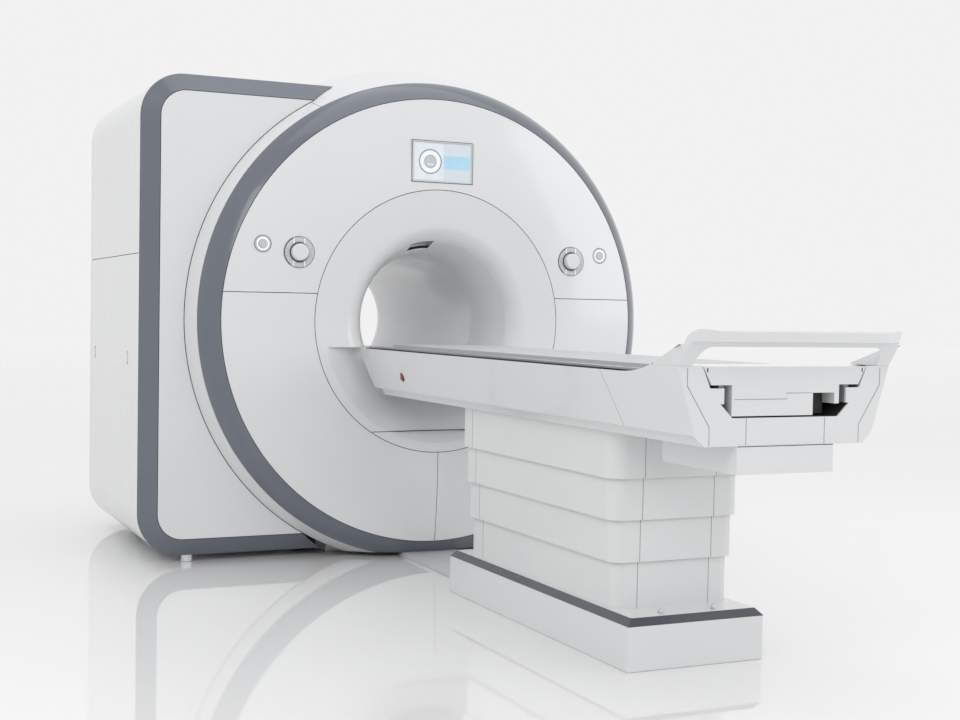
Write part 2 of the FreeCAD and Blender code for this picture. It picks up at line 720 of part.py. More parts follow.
def display():
    radius = d.display_middle - d.bore_height
    front = -face_depth(radius) - 9
    half, middle, height = d.display_width / 2, d.display_middle, d.display_height
    low, high = middle - height / 2, middle + height / 2
    frame = d.display_frame
    outer = prism("display_outer", "XZ", rounded(-half, half, low, high, 10), front, front + 40)
    pocket = prism("display_pocket", "XZ", rounded(frame - half, half - frame, low + frame, high - frame, 4),
                   front - 1, front + 8)
    keep(cut("display_cut", outer, pocket), "display_bezel")
    gap = frame + 0.3
    keep(prism("display_glass", "XZ", rounded(gap - half, half - gap, low + gap, high - gap, 4),
               front + 3, front + 8), "display_screen")


def control_face(across):
    """Front plane of a control unit whose centre lies that far from the bore axis."""
    return -face_depth(across) - 8


def control_bezels():
    pieces = []
    for side, name in ((-1, "left"), (1, "right")):
        front = control_face(root(d.control_half * d.control_half + 85000))
        x, z = side * d.control_half, d.control_height
        plate = rod(f"{name}_plate", d.control_radius, front, front + 20, x, z)
        knob_hole = rod(f"{name}_knob_hole", d.knob_radius + 6, front - 1, front + 14, x, z)
        keys = [key_solid(f"{name}_{where}_hole", side, up, front - 1, front + 14, d.run_gap)
                for where, up in (("up", 1), ("down", -1))]
        pieces.append(cut(f"{name}_unit", plate, knob_hole, *keys))
        front = control_face(root(d.button_half * d.button_half + 104000))
        x, z = side * d.button_half, d.button_height
        small = rod(f"{name}_small_plate", d.button_radius, front, front + 20, x, z)
        hole = rod(f"{name}_push_hole", d.push_radius + d.run_gap, front - 1, front + 14, x, z)
        pieces.append(cut(f"{name}_small_unit", small, hole))
    keep(group("control_units", *pieces), "control_bezels")


def key_solid(name, side, up, start, end, grow):
    """A ring segment above or below the knob."""
    x, z = side * d.control_half, d.control_height
    ring = tube(name + "_ring", d.control_radius - 6 + grow, d.knob_radius + 11 - grow, start, end, x, z)
    half = d.knob_radius * 0.55 + grow
    low, high = (z, z + d.control_radius) if up > 0 else (z - d.control_radius, z)
    zone = box(name + "_zone", x - half, x + half, -FAR, FAR, low, high)
    return common(name, ring, zone)


def control_parts():
    for side, name in ((-1, "left"), (1, "right")):
        front = control_face(root(d.control_half * d.control_half + 85000))
        floor = front + 14
        x, z = side * d.control_half, d.control_height
        knob = revolve(f"{name}_knob", [
            (0, front - d.knob_proud), (d.knob_radius * 0.8, front - d.knob_proud, 8),
            (d.knob_radius * 0.8 + 8, front - d.knob_proud + 8), (d.knob_radius + 3, floor - 0.3),
            (0, floor - 0.3)])
        keep(place(knob, x, 0, z), f"jog_knob_{name}")
        for where, up in (("up", 1), ("down", -1)):
            key = key_solid(f"{name}_{where}_key", side, up, front - 1.5, floor - d.key_travel - 0.3, 0)
            keep(key, f"table_{where}_key_{name}")
        front = control_face(root(d.button_half * d.button_half + 104000))
        push = rod(f"{name}_push", d.push_radius, front - 4, front + 14 - d.key_travel - 0.3,
                   side * d.button_half, d.button_height)
        keep(push, f"stop_button_{name}")


# ------------------------------------------------------------------ magnet and coils
def ring_tank(name, inner, outer, start, length, wall):
    """A closed annular tank."""
    shell = tube(name + "_solid", outer, inner, start, start + length)
    hollow = tube(name + "_hollow", outer - wall, inner + wall, start + wall, start + length - wall)
    return cut(name, shell, hollow)


def magnet():
    start, length = d.vessel_front, d.vessel_length
    vessel = ring_tank("vessel", d.vessel_bore, d.vessel_radius, start, length, d.vessel_wall)
    keep(vessel, "vacuum_vessel")
    inset = (length - d.helium_length) / 2
    inside = start + inset
    tank = ring_tank("helium_tank", d.helium_bore, d.helium_radius, inside, d.helium_length, d.helium_wall)
    struts = []
    for number, angle in enumerate((45, 135, 225, 315)):
        for end in (0, 1):
            strut = doc.addObject("Part::Cylinder", f"suspension_{number}_{end}")
            bind(strut, "Radius", 14)
            bind(strut, "Height", d.vessel_radius - d.vessel_wall - d.helium_radius + 3.4)
            along = inside + 150 + end * (d.helium_length - 300)
            reach = d.helium_radius - 4
            turned = math.radians(angle)
            place(strut, reach * math.sin(turned), along, d.bore_height + reach * math.cos(turned))
            strut.Placement.Rotation = FreeCAD.Rotation(FreeCAD.Vector(0, 1, 0), angle)
            struts.append(strut)
    keep(fuse("helium_with_struts", tank, *struts), "helium_vessel")
    coils = []
    room = d.helium_length - 2 * d.helium_wall - 2 * d.winding - 40
    first = inside + d.helium_wall + 20
    inner = d.helium_bore + d.helium_wall + 0.3
    for number in range(6):
        along = first + room * number / 5
        coils.append(tube(f"winding_{number}", inner + d.winding, inner, along, along + d.winding * 1.2))
    outer = d.helium_radius - d.helium_wall - 0.3
    for number in range(2):
        along = first + room * number
        coils.append(tube(f"shield_winding_{number}", outer, outer - d.winding, along, along + d.winding))
    keep(group("windings", *coils), "main_coils")

    gradient_start = start + (length - d.gradient_length) / 2
    coil = tube("gradient", d.gradient_outer, d.gradient_inner, gradient_start,
                gradient_start + d.gradient_length)
    wedges = []
    for number in range(8):
        for end in (0, 1):
            along = gradient_start + 60 + end * (d.gradient_length - 160)
            block = box(f"wedge_{number}_{end}", -30, 30, along, along + 40,
                        d.gradient_outer - 5, d.vessel_bore - 1.3)
            angle = 22.5 + 45 * number
            turned = math.radians(angle)
            reach = d.gradient_outer - 5
            place(block, reach * math.sin(turned) - 30 * math.cos(turned), along,
                  d.bore_height + reach * math.cos(turned) + 30 * math.sin(turned))
            block.Placement.Rotation = FreeCAD.Rotation(FreeCAD.Vector(0, 1, 0), angle)
            wedges.append(block)
    keep(fuse("gradient_with_wedges", coil, *wedges), "gradient_coil")
    rf_inner = d.bore_radius + d.liner_wall + d.coil_gap
    rf_start = gradient_start + 100
    rf_end = gradient_start + d.gradient_length - 100
    former = tube("rf_former", rf_inner + d.rf_wall, rf_inner, rf_start, rf_end)
    spacers = []
    for end, along in enumerate((rf_start + 20, rf_end - 50)):
        spacers.append(tube(f"rf_spacer_in_{end}", rf_inner + 1, d.bore_radius + d.liner_wall + 0.3,
                            along, along + 30))
        spacers.append(tube(f"rf_spacer_out_{end}", d.gradient_inner - 0.3, rf_inner + 1, along, along + 30))
    keep(fuse("rf_coil_body", former, *spacers), "rf_body_coil")

    reach = d.vessel_radius - 20
    head = []
    stages = (("flange", 110, 0, 50), ("sleeve", 75, 40, 170), ("motor", 55, 150, 270))
    for name, radius, low, high in stages:
        stage = doc.addObject("Part::Cylinder", f"cold_head_{name}")
        bind(stage, "Radius", radius)
        bind(stage, "Height", high - low)
        turned = math.radians(-45)
        place(stage, (reach + low) * math.sin(turned), start + length * 0.4,
              d.bore_height + (reach + low) * math.cos(turned))
        stage.Placement.Rotation = FreeCAD.Rotation(FreeCAD.Vector(0, 1, 0), -45)
        head.append(stage)
    body = rod("cold_head_seat", d.vessel_radius + 0.3, start, start + length, 0, d.bore_height)
    keep(cut("cold_head_cut", fuse("cold_head_stages", *head), body), "cold_head")

    feet = []
    for number, (side, along) in enumerate(((-1, 0.12), (1, 0.12), (-1, 0.78), (1, 0.78))):
        x0 = side * 330 - 90
        y0 = start + length * along
        feet.append(box(f"foot_{number}", x0, x0 + 180, y0, y0 + 150, 0, 300))
    seat = rod("feet_seat", d.vessel_radius + 0.1, start - 200, start + length + 200, 0, d.bore_height)
    keep(cut("feet_cut", fuse("feet_blocks", *feet), seat), "magnet_feet")


def cover_hoops():
    """Rings on the magnet that carry the covers."""
    wall = d.cover_wall
    front = wall + 0.3
    hub = d.vessel_radius - 60
    face_ring = tube("face_ring", d.disc_radius + 1, hub, front, front + 24)
    posts = []
    for number in range(8):
        turned = math.radians(22.5 + 45 * number)
        reach = hub + 30
        posts.append(rod(f"face_post_{number}", 22, front + 10, d.vessel_front,
                         reach * math.sin(turned), d.bore_height + reach * math.cos(turned)))
    slope = (d.strip_radius - d.ring_radius) / (d.wing_face - d.ring_depth)
    strip_start = d.wing_face - 30
    strip_radius = d.ring_radius + slope * (strip_start - d.ring_depth) - wall - 0.1
    strip_ring = tube("strip_ring", strip_radius, d.vessel_radius + 0.1, strip_start, strip_start + 10)
    seam_ring = tube("seam_ring", d.barrel_radius - wall - 0.3, d.vessel_radius + 0.1, d.barrel_end - 10,
                     d.barrel_end + 10)
    back = d.gantry_depth - wall - 0.3
    back_ring = tube("back_ring", d.rear_mouth + 80, d.rear_mouth - 4, back - 20, back)
    back_posts = []
    for number in range(4):
        turned = math.radians(45 + 90 * number)
        reach = d.rear_mouth + 50
        back_posts.append(rod(f"back_post_{number}", 20, d.vessel_front + d.vessel_length, back - 10,
                              reach * math.sin(turned), d.bore_height + reach * math.cos(turned)))
    behind_face = wall - d.front_dome + 0.6
    funnel_ring = tube("funnel_ring", d.funnel_radius + 25, d.funnel_radius - 4, behind_face,
                       behind_face + 20)
    funnel_posts = []
    for number in range(4):
        turned = math.radians(45 + 90 * number)
        reach = d.funnel_radius - 10
        funnel_posts.append(rod(f"funnel_post_{number}", 15, behind_face + 10, d.vessel_front,
                                reach * math.sin(turned), d.bore_height + reach * math.cos(turned)))
    clear = below_floor_gap("hoop_floor")
    rings = [cut(f"hoop_{number}", ring, clear) for number, ring in enumerate((strip_ring, seam_ring))]
    keep(group("hoops", fuse("face_hoop", face_ring, *posts), *rings,
               fuse("back_hoop", back_ring, *back_posts),
               fuse("funnel_hoop", funnel_ring, *funnel_posts)), "cover_hoops")


def bore_bed():
    """The bed that the tabletop runs over, with the bridge from the table into the bore."""
    top = d.board_bottom - SKID_DEPTH - 1
    start = d.table_end + 3
    half_top, half_low, half_tray = d.side_half_top, d.side_half_bottom, d.tray_half_bottom
    rim = d.side_top
    bridge = prism("bridge", "XZ", [
        (-half_tray, d.tray_bottom), (half_tray, d.tray_bottom), (half_low, d.tray_top), (half_top, rim),
        (-half_top, rim), (-half_low, d.tray_top)], start, d.lip_depth + 0.5)
    channel = prism("bridge_channel", "XZ", [
        (-half_top + 20, top), (half_top - 20, top), (half_top - 20, rim + 1), (-half_top + 20, rim + 1)],
        start - 1, d.lip_depth + 60)
    slant_run = d.tray_top - d.side_top
    slant = prism("bridge_slant", "YZ", [
        (d.lip_depth - 4, rim), (d.lip_depth - 4 + slant_run * 0.47, d.tray_top),
        (d.lip_depth - 4 + slant_run * 0.47 - 12, d.tray_bottom - 1), (d.lip_depth + 200, d.tray_bottom - 1),
        (d.lip_depth + 200, rim)], -FAR / 6, FAR / 6)
    end = d.gantry_depth - (d.rear_mouth - d.bore_radius) - 30
    round_bed = rod("bed_round", d.bore_radius - 0.3, d.lip_depth - 30, end, 0, d.bore_height)
    zone = box("bed_zone", -FAR, FAR, d.lip_depth - 40, end + 10, d.bore_height - d.bore_radius - 1, top)
    under = box("bed_under", -150, 150, d.lip_depth + 20, end + 10,
                d.bore_height - d.bore_radius - 10, top - 24)
    bed = cut("bed_hollow", common("bed", round_bed, zone), under)
    keep(fuse("bore_bed_fused", cut("bridge_cut", bridge, channel, slant), bed), "bore_bed")


# ------------------------------------------------------------------ table
def pedestal():
    front, back, half = d.base_front, d.base_back, d.base_half
    base = prism("base_block", "XY", rounded(-half, half, front, back, 6), 0, d.base_side)
    top = prism("base_top", "XY", rounded(-half + d.base_inset, half - d.base_inset, front + d.base_inset,
                                          back - d.base_inset, 4), d.base_side - 1, d.base_height)
    middle = (d.column_front + d.column_back) / 2
    well_half = d.stage_outer + 0.3
    well = box("base_well", -well_half, well_half, middle - well_half, middle + well_half,
               d.base_floor, d.base_height + 1)
    keep(cut("base_fused", fuse("base_blocks", base, top), well), "pedestal_base")
    outer = doc.addObject("Part::Wedge", "base_slope")
    for name, value in (("Xmin", -half), ("Xmax", half), ("Zmin", front), ("Zmax", back),
                        ("X2min", -half + d.base_inset), ("X2max", half - d.base_inset),
                        ("Z2min", front + d.base_inset), ("Z2max", back - d.base_inset)):
        bind(outer, name, value)
    bind(outer, "Ymin", 0)
    bind(outer, "Ymax", d.base_height - d.base_side - 0.6)
    place(outer, 0, 0, d.base_side + 0.3)
    outer.Placement.Rotation = FreeCAD.Rotation(FreeCAD.Vector(1, 0, 0), 90)
    turned = doc.addObject("Part::Mirroring", "base_slope_turned")
    turned.Source = outer
    turned.Normal = FreeCAD.Vector(0, 1, 0)
    core = prism("base_core", "XY", rounded(-half + d.base_inset - 0.3, half - d.base_inset + 0.3,
                                            front + d.base_inset - 0.3, back - d.base_inset + 0.3, 4),
                 d.base_side - 5, d.base_height + 5)
    keep(cut("base_trim_cut", turned, core), "pedestal_trim")
    duct_top = d.floor_gap - d.slide_gap
    duct = prism("duct", "XZ", [
        (-d.duct_half, 0), (d.duct_half, 0), (d.duct_half - 12, duct_top), (-d.duct_half + 12, duct_top)],
        back + 0.3, d.duct_end)
    keep(duct, "floor_duct")


def tier(name, level, low, high):
    """One tier of the telescoping skirt: level 0 is the lowest and smallest. It is two side
    shells, a front panel and a rear panel, with a lip that glides inside the next tier."""
    inset = d.tier_step * (3 - level)
    half, front, back = d.column_half - inset, d.column_front + inset, d.column_back - inset
    corner = d.column_round - inset * 0.5
    wall = d.tier_wall
    outer = prism(name + "_out", "XY", rounded(-half, half, front, back, corner), low, high)
    pieces = outer
    if level < 3:
        reach = d.tier_step - wall - 0.3
        lip = prism(name + "_lip", "XY", rounded(-half - reach, half + reach, front - reach, back + reach,
                                                 corner + reach), high - 8, high)
        pieces = fuse(name + "_lipped", outer, lip)
    inner = prism(name + "_in", "XY", rounded(-half + wall, half - wall, front + wall, back - wall,
                                              corner - wall), low - 1, high + 1)
    split = 0.4
    panel_half = d.column_half * 0.53
    rear = back - d.column_round * 2
    slots = [box(f"{name}_front_seam_{side}", side * panel_half - split, side * panel_half + split,
                 front - 50, front + 100, low - 1, high + 1) for side in (-1, 1)]
    slots += [box(f"{name}_side_seam_{side}", x0, x0 + 200, rear - split, rear + split, low - 1, high + 1)
              for side, x0 in ((-1, -half - 100), (1, half - 100))]
    return cut(name, pieces, inner, *slots)


def skirt():
    under = d.tray_bottom
    keep(tier("tier_bottom", 0, d.base_height, d.tier_one + d.tier_overlap), "skirt_tier_bottom")
    keep(tier("tier_lower", 1, d.tier_one, d.tier_two + d.tier_overlap), "skirt_tier_lower")
    keep(tier("tier_upper", 2, d.tier_two, d.tier_three + d.tier_overlap), "skirt_tier_upper")
    keep(tier("tier_top", 3, d.tier_three, under), "skirt_tier_top")


def lift_column():
    """Three square tubes; each inner one carries a collar that glides in the one outside it."""
    wall = 8
    middle = (d.column_front + d.column_back) / 2
    closed = d.tray_bottom - d.lift_stroke
    bottom = d.base_floor
    length = closed - bottom - 4
    half_stroke = d.lift_stroke / 2
    stages = (("outer", d.stage_outer, bottom, 0), ("middle", d.stage_middle, bottom + 2 + half_stroke, 1),
              ("inner", d.stage_inner, bottom + 4 + d.lift_stroke, 2))
    for name, half, low, number in stages:
        high = low + length if number < 2 else d.tray_bottom
        solid = box(f"stage_{name}", -half, half, middle - half, middle + half, low, high)
        if number:
            grip = (d.stage_outer if number == 1 else d.stage_middle) - wall - 0.3
            collar = box(f"collar_{name}", -grip, grip, middle - grip, middle + grip, low, low + 12)
            solid = fuse(f"stage_{name}_collared", solid, collar)
        bore = box(f"stage_{name}_bore", -half + wall, half - wall, middle - half + wall,
                   middle + half - wall,
                   low - 1, high + 1)
        keep(cut(f"stage_{name}_cut", solid, bore), f"lift_column_{name}")


def slanted_tail(name, shift):
    """Everything behind the side panels' slanted seam, towards the tail."""
    run = d.tail_seam_bottom - d.tail_seam_top
    drop = d.side_top - d.tray_top
    slope = run / drop
    above, beneath = 100, 200
    far_end = d.tail_end - 100
    return prism(name, "YZ", [
        (far_end, d.tray_top - beneath), (d.tail_seam_bottom + slope * beneath + shift, d.tray_top - beneath),
        (d.tail_seam_top - slope * above + shift, d.side_top + above), (far_end, d.side_top + above)],
        -FAR / 2, FAR / 2)


def side_half(height):
    """Half width between the outsides of the sloped side panels."""
    lean = (d.side_half_top - d.side_half_bottom) / (d.side_top - d.tray_top)
    return d.side_half_top + lean * (height - d.side_top)


def channel_outline(grow, top):
    """The opening that the tabletop's carriage runs in, open at the top: a wide shelf over
    a throat that hooks out above its sloped foot."""
    wide, shoulder, shelf = d.rim_half - 57 + grow, d.carriage_half + 74 + grow, d.deck_top - 6 - grow
    throat, hook = d.carriage_half + 26 + grow, d.carriage_half + 38 + grow
    hook_top = d.carriage_bottom + 35 + grow
    foot, low = d.carriage_half - 3 + grow, d.carriage_bottom - 5 - grow
    half = [(wide, top), (shoulder, shelf), (throat, shelf), (throat, hook_top),
            (hook, hook_top), (foot, low)]
    return [(-x, z) for x, z in half] + half[::-1]


def table_body():
    wall = d.side_wall
    lower, upper = d.side_half_bottom, d.side_half_top
    low, high = d.tray_top + 0.5, d.side_top
    end, tail = d.table_end, d.tail_end
    panel = prism("side_panel", "XZ", [
        (-upper, high), (-lower, low), (-lower + wall, low), (-upper + wall, high)], tail, end)
    hole = doc.addObject("Part::Cylinder", "release_hole")
    bind(hole, "Radius", d.release_radius + d.run_gap)
    bind(hole, "Height", 120)
    place(hole, -upper - 20, d.release_place, d.release_height)
    hole.Placement.Rotation = FreeCAD.Rotation(FreeCAD.Vector(0, 1, 0), 90)
    left = cut("side_left_cut", panel, slanted_tail("tail_zone", half_seam), hole)
    keep(left, "table_side_left")
    keep(mirrored(left, "side_right_mirrored"), "table_side_right")

    half_low, half_top = d.tray_half_bottom, d.tray_half_top
    bottom, top = d.tray_bottom, d.tray_top
    tray = prism("tray_out", "XZ", [
        (-half_low, bottom), (half_low, bottom), (half_top, top), (-half_top, top)], tail + wall, end - 25)
    tray_in = prism("tray_in", "XZ", [
        (-half_low + wall, bottom + wall), (half_low - wall, bottom + wall), (half_top - wall, top + 1),
        (-half_top + wall, top + 1)], tail - 1, end + 1)
    flange = [prism(f"tray_flange_{side}", "XZ", [
        (side * (half_top - wall), top - 6), (side * (lower - 1), top - 2), (side * (lower - 1), top),
        (side * (half_top - wall), top)][::side], tail + wall, end - 25) for side in (-1, 1)]
    keep(fuse("tray", cut("tray_cut", tray, tray_in), *flange), "table_undertray")

    rim_top = high + d.rim_height
    deck_wall = 6
    inner = channel_outline(0, rim_top)
    outer = channel_outline(deck_wall, rim_top - deck_wall)
    flare = d.rim_half
    deck_profile = ([(-flare, rim_top)] + [(-flare, rim_top - deck_wall)] + outer
                    + [(flare, rim_top - deck_wall), (flare, rim_top)] + inner[::-1])
    deck = prism("deck_channel", "XZ", deck_profile, tail + wall + 0.5, end - 2)
    posts = [box(f"deck_post_{number}_{side}", side * 150 - 20, side * 150 + 20, along, along + 200,
                 bottom + wall + 0.1, d.carriage_bottom - 6)
             for number, along in enumerate((tail + 300, (tail + end) / 2, end - 400)) for side in (-1, 1)]
    runners = [box(f"deck_runner_{side}", side * SKID_PLACE - 8, side * SKID_PLACE + 8, tail + wall + 0.5,
                   end - 2, d.deck_top - 9, d.board_bottom - SKID_DEPTH - d.slide_gap) for side in (-1, 1)]
    keep(fuse("deck", deck, *posts, *runners), "table_deck")

    tail_top = d.tail_top
    wide = side_half(tail_top)
    length = d.tail_length + 60
    shell = prism("tail_walls", "XZ", [
        (-half_low, bottom), (half_low, bottom), (lower, top), (wide, tail_top), (-wide, tail_top),
        (-lower, top)],
        tail, tail + length)
    hollow = prism("tail_hollow", "XZ", [
        (-half_low + wall, bottom + wall), (half_low - wall, bottom + wall), (lower - wall, top),
        (wide - wall - 4, tail_top + 1), (-wide + wall + 4, tail_top + 1), (-lower + wall, top)],
        tail + wall, tail + length + 1)
    notch = prism("tail_notch", "XZ", channel_outline(0, tail_top + 1), tail - 1, tail + wall + 1)
    under = box("tail_under", -FAR / 2, FAR / 2, tail + wall, 0, 0, top + 0.5)
    body = common("tail_shell_zone", cut("tail_shell_cut", shell, hollow, notch, under),
                  slanted_tail("tail_part_zone", -half_seam))
    start, _, crossing = side_edge()
    dip = prism("tail_dip", "YZ", [
        (start + length, high), (start + length, tail_top + 100), (crossing, tail_top + 100),
        (crossing, tail_top, d.handle_bend), (start, high)], -FAR / 2, FAR / 2)
    keep(cut("tail_shell_dipped", body, dip), "tail_shell")

    keep(box("tail_box_solid", -d.tail_box_half, d.tail_box_half, d.tail_box_front, d.tail_box_back,
             d.tail_box_bottom, bottom - 0.1), "tail_box")


def side_edge():
    """The side's upper edge as it rises towards the handle: where the bend starts, where it
    ends, and where it passes the tail's top."""
    start, bend, slope = d.tail_end + d.handle_run, d.handle_bend, d.handle_slope
    length = root(slope * slope + 1)
    bend_end = (start - bend * slope / length, d.side_top + bend - bend / length)
    left = bend - d.tail_rise
    return start, bend_end, start - root(bend * bend - left * left)


def handle_plan(name, inset, base, height):
    """The handle's outline in plan, padded upwards with sides as sloped as the side panels."""
    lean = (d.side_half_top - d.side_half_bottom) / (d.side_top - d.tray_top)
    half, corner = side_half(base) - inset, d.handle_corner - inset
    back = d.tail_end - d.handle_reach + lean * height + inset
    front = d.tail_end + d.handle_run
    body = prism(name, "XY", [
        (-half, back + corner, corner), (-half + corner, back), (half - corner, back, corner),
        (half, back + corner), (half, front), (-half, front)], base, base + height)
    pad = body.Tip
    bind(pad, "TaperAngle", Size(math.degrees(math.atan(lean.number)), f"atan({lean.text})"))
    return body


def handle():
    """A bar behind the tail, carried by arms that rise out of the sides."""
    start, bend_end, crossing = side_edge()
    base, top = d.tail_top + d.slide_gap, d.side_top + d.handle_rise
    out, low, deep = d.tail_end - d.handle_reach, top - d.handle_thick, d.handle_deep
    foot = crossing - 12
    fall = start - foot
    foot_top = d.side_top + d.handle_bend - root(d.handle_bend * d.handle_bend - fall * fall)
    knee = d.tail_end - 35
    knee_top = bend_end[1] + (bend_end[0] - knee) * d.handle_slope
    upper_round, lower_round = 12, 10
    profile = prism("handle_side", "YZ", [
        (foot, base), (foot, foot_top, -d.handle_bend), bend_end, (knee, knee_top, 2 * deep),
        (out + 22, top), (out + upper_round, top, upper_round), (out, top - upper_round),
        (out, low + lower_round, lower_round), (out + lower_round, low), (out + deep + 4, low),
        (d.tail_end - 2, base)], -FAR / 2, FAR / 2)
    height = top - base
    loop = cut("handle_loop", handle_plan("handle_outside", 0, base, height),
               handle_plan("handle_inside", d.handle_deep, base, height))
    keep(common("handle_swept", loop, profile), "tail_handle")


SKID_PLACE = 222  # skids under the tabletop, from the bore axis
SKID_DEPTH = 11  # how far they reach below it


def tabletop():
    tail, end = d.tail_end, d.table_end
    half, bottom, top = d.board_half, d.board_bottom, d.board_top
    start = tail + d.carriage_length + 0.3
    thick = top - bottom
    board = prism("board", "XZ", [
        (-half, top), (-half, top - thick * 0.4, thick * 1.2), (-half + thick, bottom),
        (half - thick, bottom, thick * 1.2), (half, top - thick * 0.4), (half, top)], start, end - 5)
    skids = [box(f"board_skid_{side}", side * SKID_PLACE - 6, side * SKID_PLACE + 6, start, end - 5,
                 bottom - SKID_DEPTH, top - thick * 0.5) for side in (-1, 1)]
    keep(fuse("board_with_skids", board, *skids), "tabletop")
    clear = 4
    low, wing = d.carriage_bottom, bottom - SKID_DEPTH
    wide, shoulder, block = d.rim_half - 57 - clear, d.carriage_half + 74 - clear, d.carriage_half
    socket, socket_wide, web = block / 2, block - 17, low + 33
    carriage = prism("carriage_block", "XZ", [
        (-wide, d.tail_top - 2), (-shoulder, wing), (-block, wing), (-block, low), (socket, low),
        (socket, low + 65), (socket_wide, low + 65), (socket_wide, web), (block, web), (block, wing),
        (shoulder, wing), (wide, d.tail_top - 2)], tail, tail + d.carriage_length)
    keep(carriage, "tabletop_carriage")


def release_buttons():
    for side, name in ((-1, "left"), (1, "right")):
        button = doc.addObject("Part::Cylinder", f"release_{name}")
        bind(button, "Radius", d.release_radius)
        bind(button, "Height", 22)
        share = (d.release_height - d.tray_top) / (d.side_top - d.tray_top)
        outer = d.side_half_bottom + (d.side_half_top - d.side_half_bottom) * share + 4
        place(button, outer - 22 if side > 0 else -outer, d.release_place, d.release_height)
        button.Placement.Rotation = FreeCAD.Rotation(FreeCAD.Vector(0, 1, 0), 90)
        keep(button, f"release_button_{name}")


# ------------------------------------------------------------------ build and write
def build():
    front_covers()
    funnels()
    ring_trim()
    barrel()
    rear_covers()
    wing()
    wing_frame()
    display()
    control_bezels()
    control_parts()
    magnet()
    cover_hoops()
    bore_bed()
    pedestal()
    skirt()
    lift_column()
    table_body()
    handle()
    tabletop()
    release_buttons()
    doc.recompute()


def check():
    bad = [item.Name for item in doc.Objects if "Invalid" in item.State or "Error" in item.State]
    bad += [item.Label for item in parts if item.Shape.isNull() or not item.Shape.isValid()
            or not item.Shape.Solids]
    labels = [item.Label for item in parts]
    bad += [label for label in labels if labels.count(label) > 1]
    if bad:
        raise RuntimeError("failed: " + ", ".join(bad))


build()
check()
os.makedirs("parts", exist_ok=True)
for item in parts:
    item.Shape.exportStep(f"parts/{item.Label}.step")
print(len(parts), "sub-parts")
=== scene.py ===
import bpy
import bmesh
import math
from mathutils import Matrix, Vector


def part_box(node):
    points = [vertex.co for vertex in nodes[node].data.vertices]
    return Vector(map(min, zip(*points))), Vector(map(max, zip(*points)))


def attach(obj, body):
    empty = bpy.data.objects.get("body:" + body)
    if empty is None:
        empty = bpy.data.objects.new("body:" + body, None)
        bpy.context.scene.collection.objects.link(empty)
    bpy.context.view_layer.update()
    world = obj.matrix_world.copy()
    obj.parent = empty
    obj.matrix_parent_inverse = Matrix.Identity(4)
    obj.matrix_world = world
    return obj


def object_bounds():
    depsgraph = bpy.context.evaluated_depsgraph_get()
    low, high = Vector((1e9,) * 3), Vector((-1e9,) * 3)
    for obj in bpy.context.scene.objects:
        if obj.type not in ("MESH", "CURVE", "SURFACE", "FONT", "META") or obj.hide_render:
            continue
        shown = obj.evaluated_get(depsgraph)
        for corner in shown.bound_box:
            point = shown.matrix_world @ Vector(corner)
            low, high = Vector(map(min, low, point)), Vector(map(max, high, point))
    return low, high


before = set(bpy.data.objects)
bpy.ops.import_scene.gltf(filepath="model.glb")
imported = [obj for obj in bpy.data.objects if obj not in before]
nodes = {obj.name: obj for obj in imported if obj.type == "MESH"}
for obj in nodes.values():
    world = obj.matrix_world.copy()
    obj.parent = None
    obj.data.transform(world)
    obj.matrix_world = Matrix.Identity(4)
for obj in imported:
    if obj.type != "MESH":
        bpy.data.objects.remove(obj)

cad_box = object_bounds()


# ---------------------------------------------------------------- measures from the frame
def low(node):
    return Vector(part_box(node)[0])


def high(node):
    return Vector(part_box(node)[1])


# ---------------------------------------------------------------- materials
def new_material(name):
    material = bpy.data.materials.new(name)
    material.use_nodes = True
    tree = material.node_tree
    return material, tree, tree.nodes["Principled BSDF"]


def noise(tree, scale, detail):
    coords = tree.nodes.new("ShaderNodeTexCoord")
    texture = tree.nodes.new("ShaderNodeTexNoise")
    texture.inputs["Scale"].default_value = scale
    texture.inputs["Detail"].default_value = detail
    tree.links.new(coords.outputs["Object"], texture.inputs["Vector"])
    return texture.outputs["Fac"]


def span(tree, value, start, end):
    """Spread a 0 to 1 value between two numbers."""
    ramp = tree.nodes.new("ShaderNodeMapRange")
    ramp.inputs["From Min"].default_value = 0.3
    ramp.inputs["From Max"].default_value = 0.7
    ramp.inputs["To Min"].default_value = start
    ramp.inputs["To Max"].default_value = end
    tree.links.new(value, ramp.inputs["Value"])
    return ramp.outputs["Result"]


def tint(tree, value, first, second):
    mix = tree.nodes.new("ShaderNodeMix")
    mix.data_type = "RGBA"
    mix.inputs["A"].default_value = (*first, 1)
    mix.inputs["B"].default_value = (*second, 1)
    tree.links.new(value, mix.inputs["Factor"])
    return mix.outputs["Result"]


def bump(tree, shader, value, strength, distance):
    node = tree.nodes.new("ShaderNodeBump")
    node.inputs["Strength"].default_value = strength
    node.inputs["Distance"].default_value = distance
    tree.links.new(value, node.inputs["Height"])
    tree.links.new(node.outputs["Normal"], shader.inputs["Normal"])


def lacquer(name, first, second, rough, coat=0.0, peel=0.02, grain=900.0):
    """A moulded and painted surface: slight tint change, uneven gloss and a fine orange peel."""
    material, tree, shader = new_material(name)
    broad = noise(tree, 1.6, 3.0)
    fine = noise(tree, grain, 2.0)
    tree.links.new(tint(tree, span(tree, broad, 0.0, 1.0), first, second), shader.inputs["Base Color"])
    tree.links.new(span(tree, noise(tree, 14.0, 5.0), rough * 0.85, rough * 1.2), shader.inputs["Roughness"])
    shader.inputs["Coat Weight"].default_value = coat
    shader.inputs["Coat Roughness"].default_value = 0.06
    bump(tree, shader, fine, peel, 0.0004)
    return material


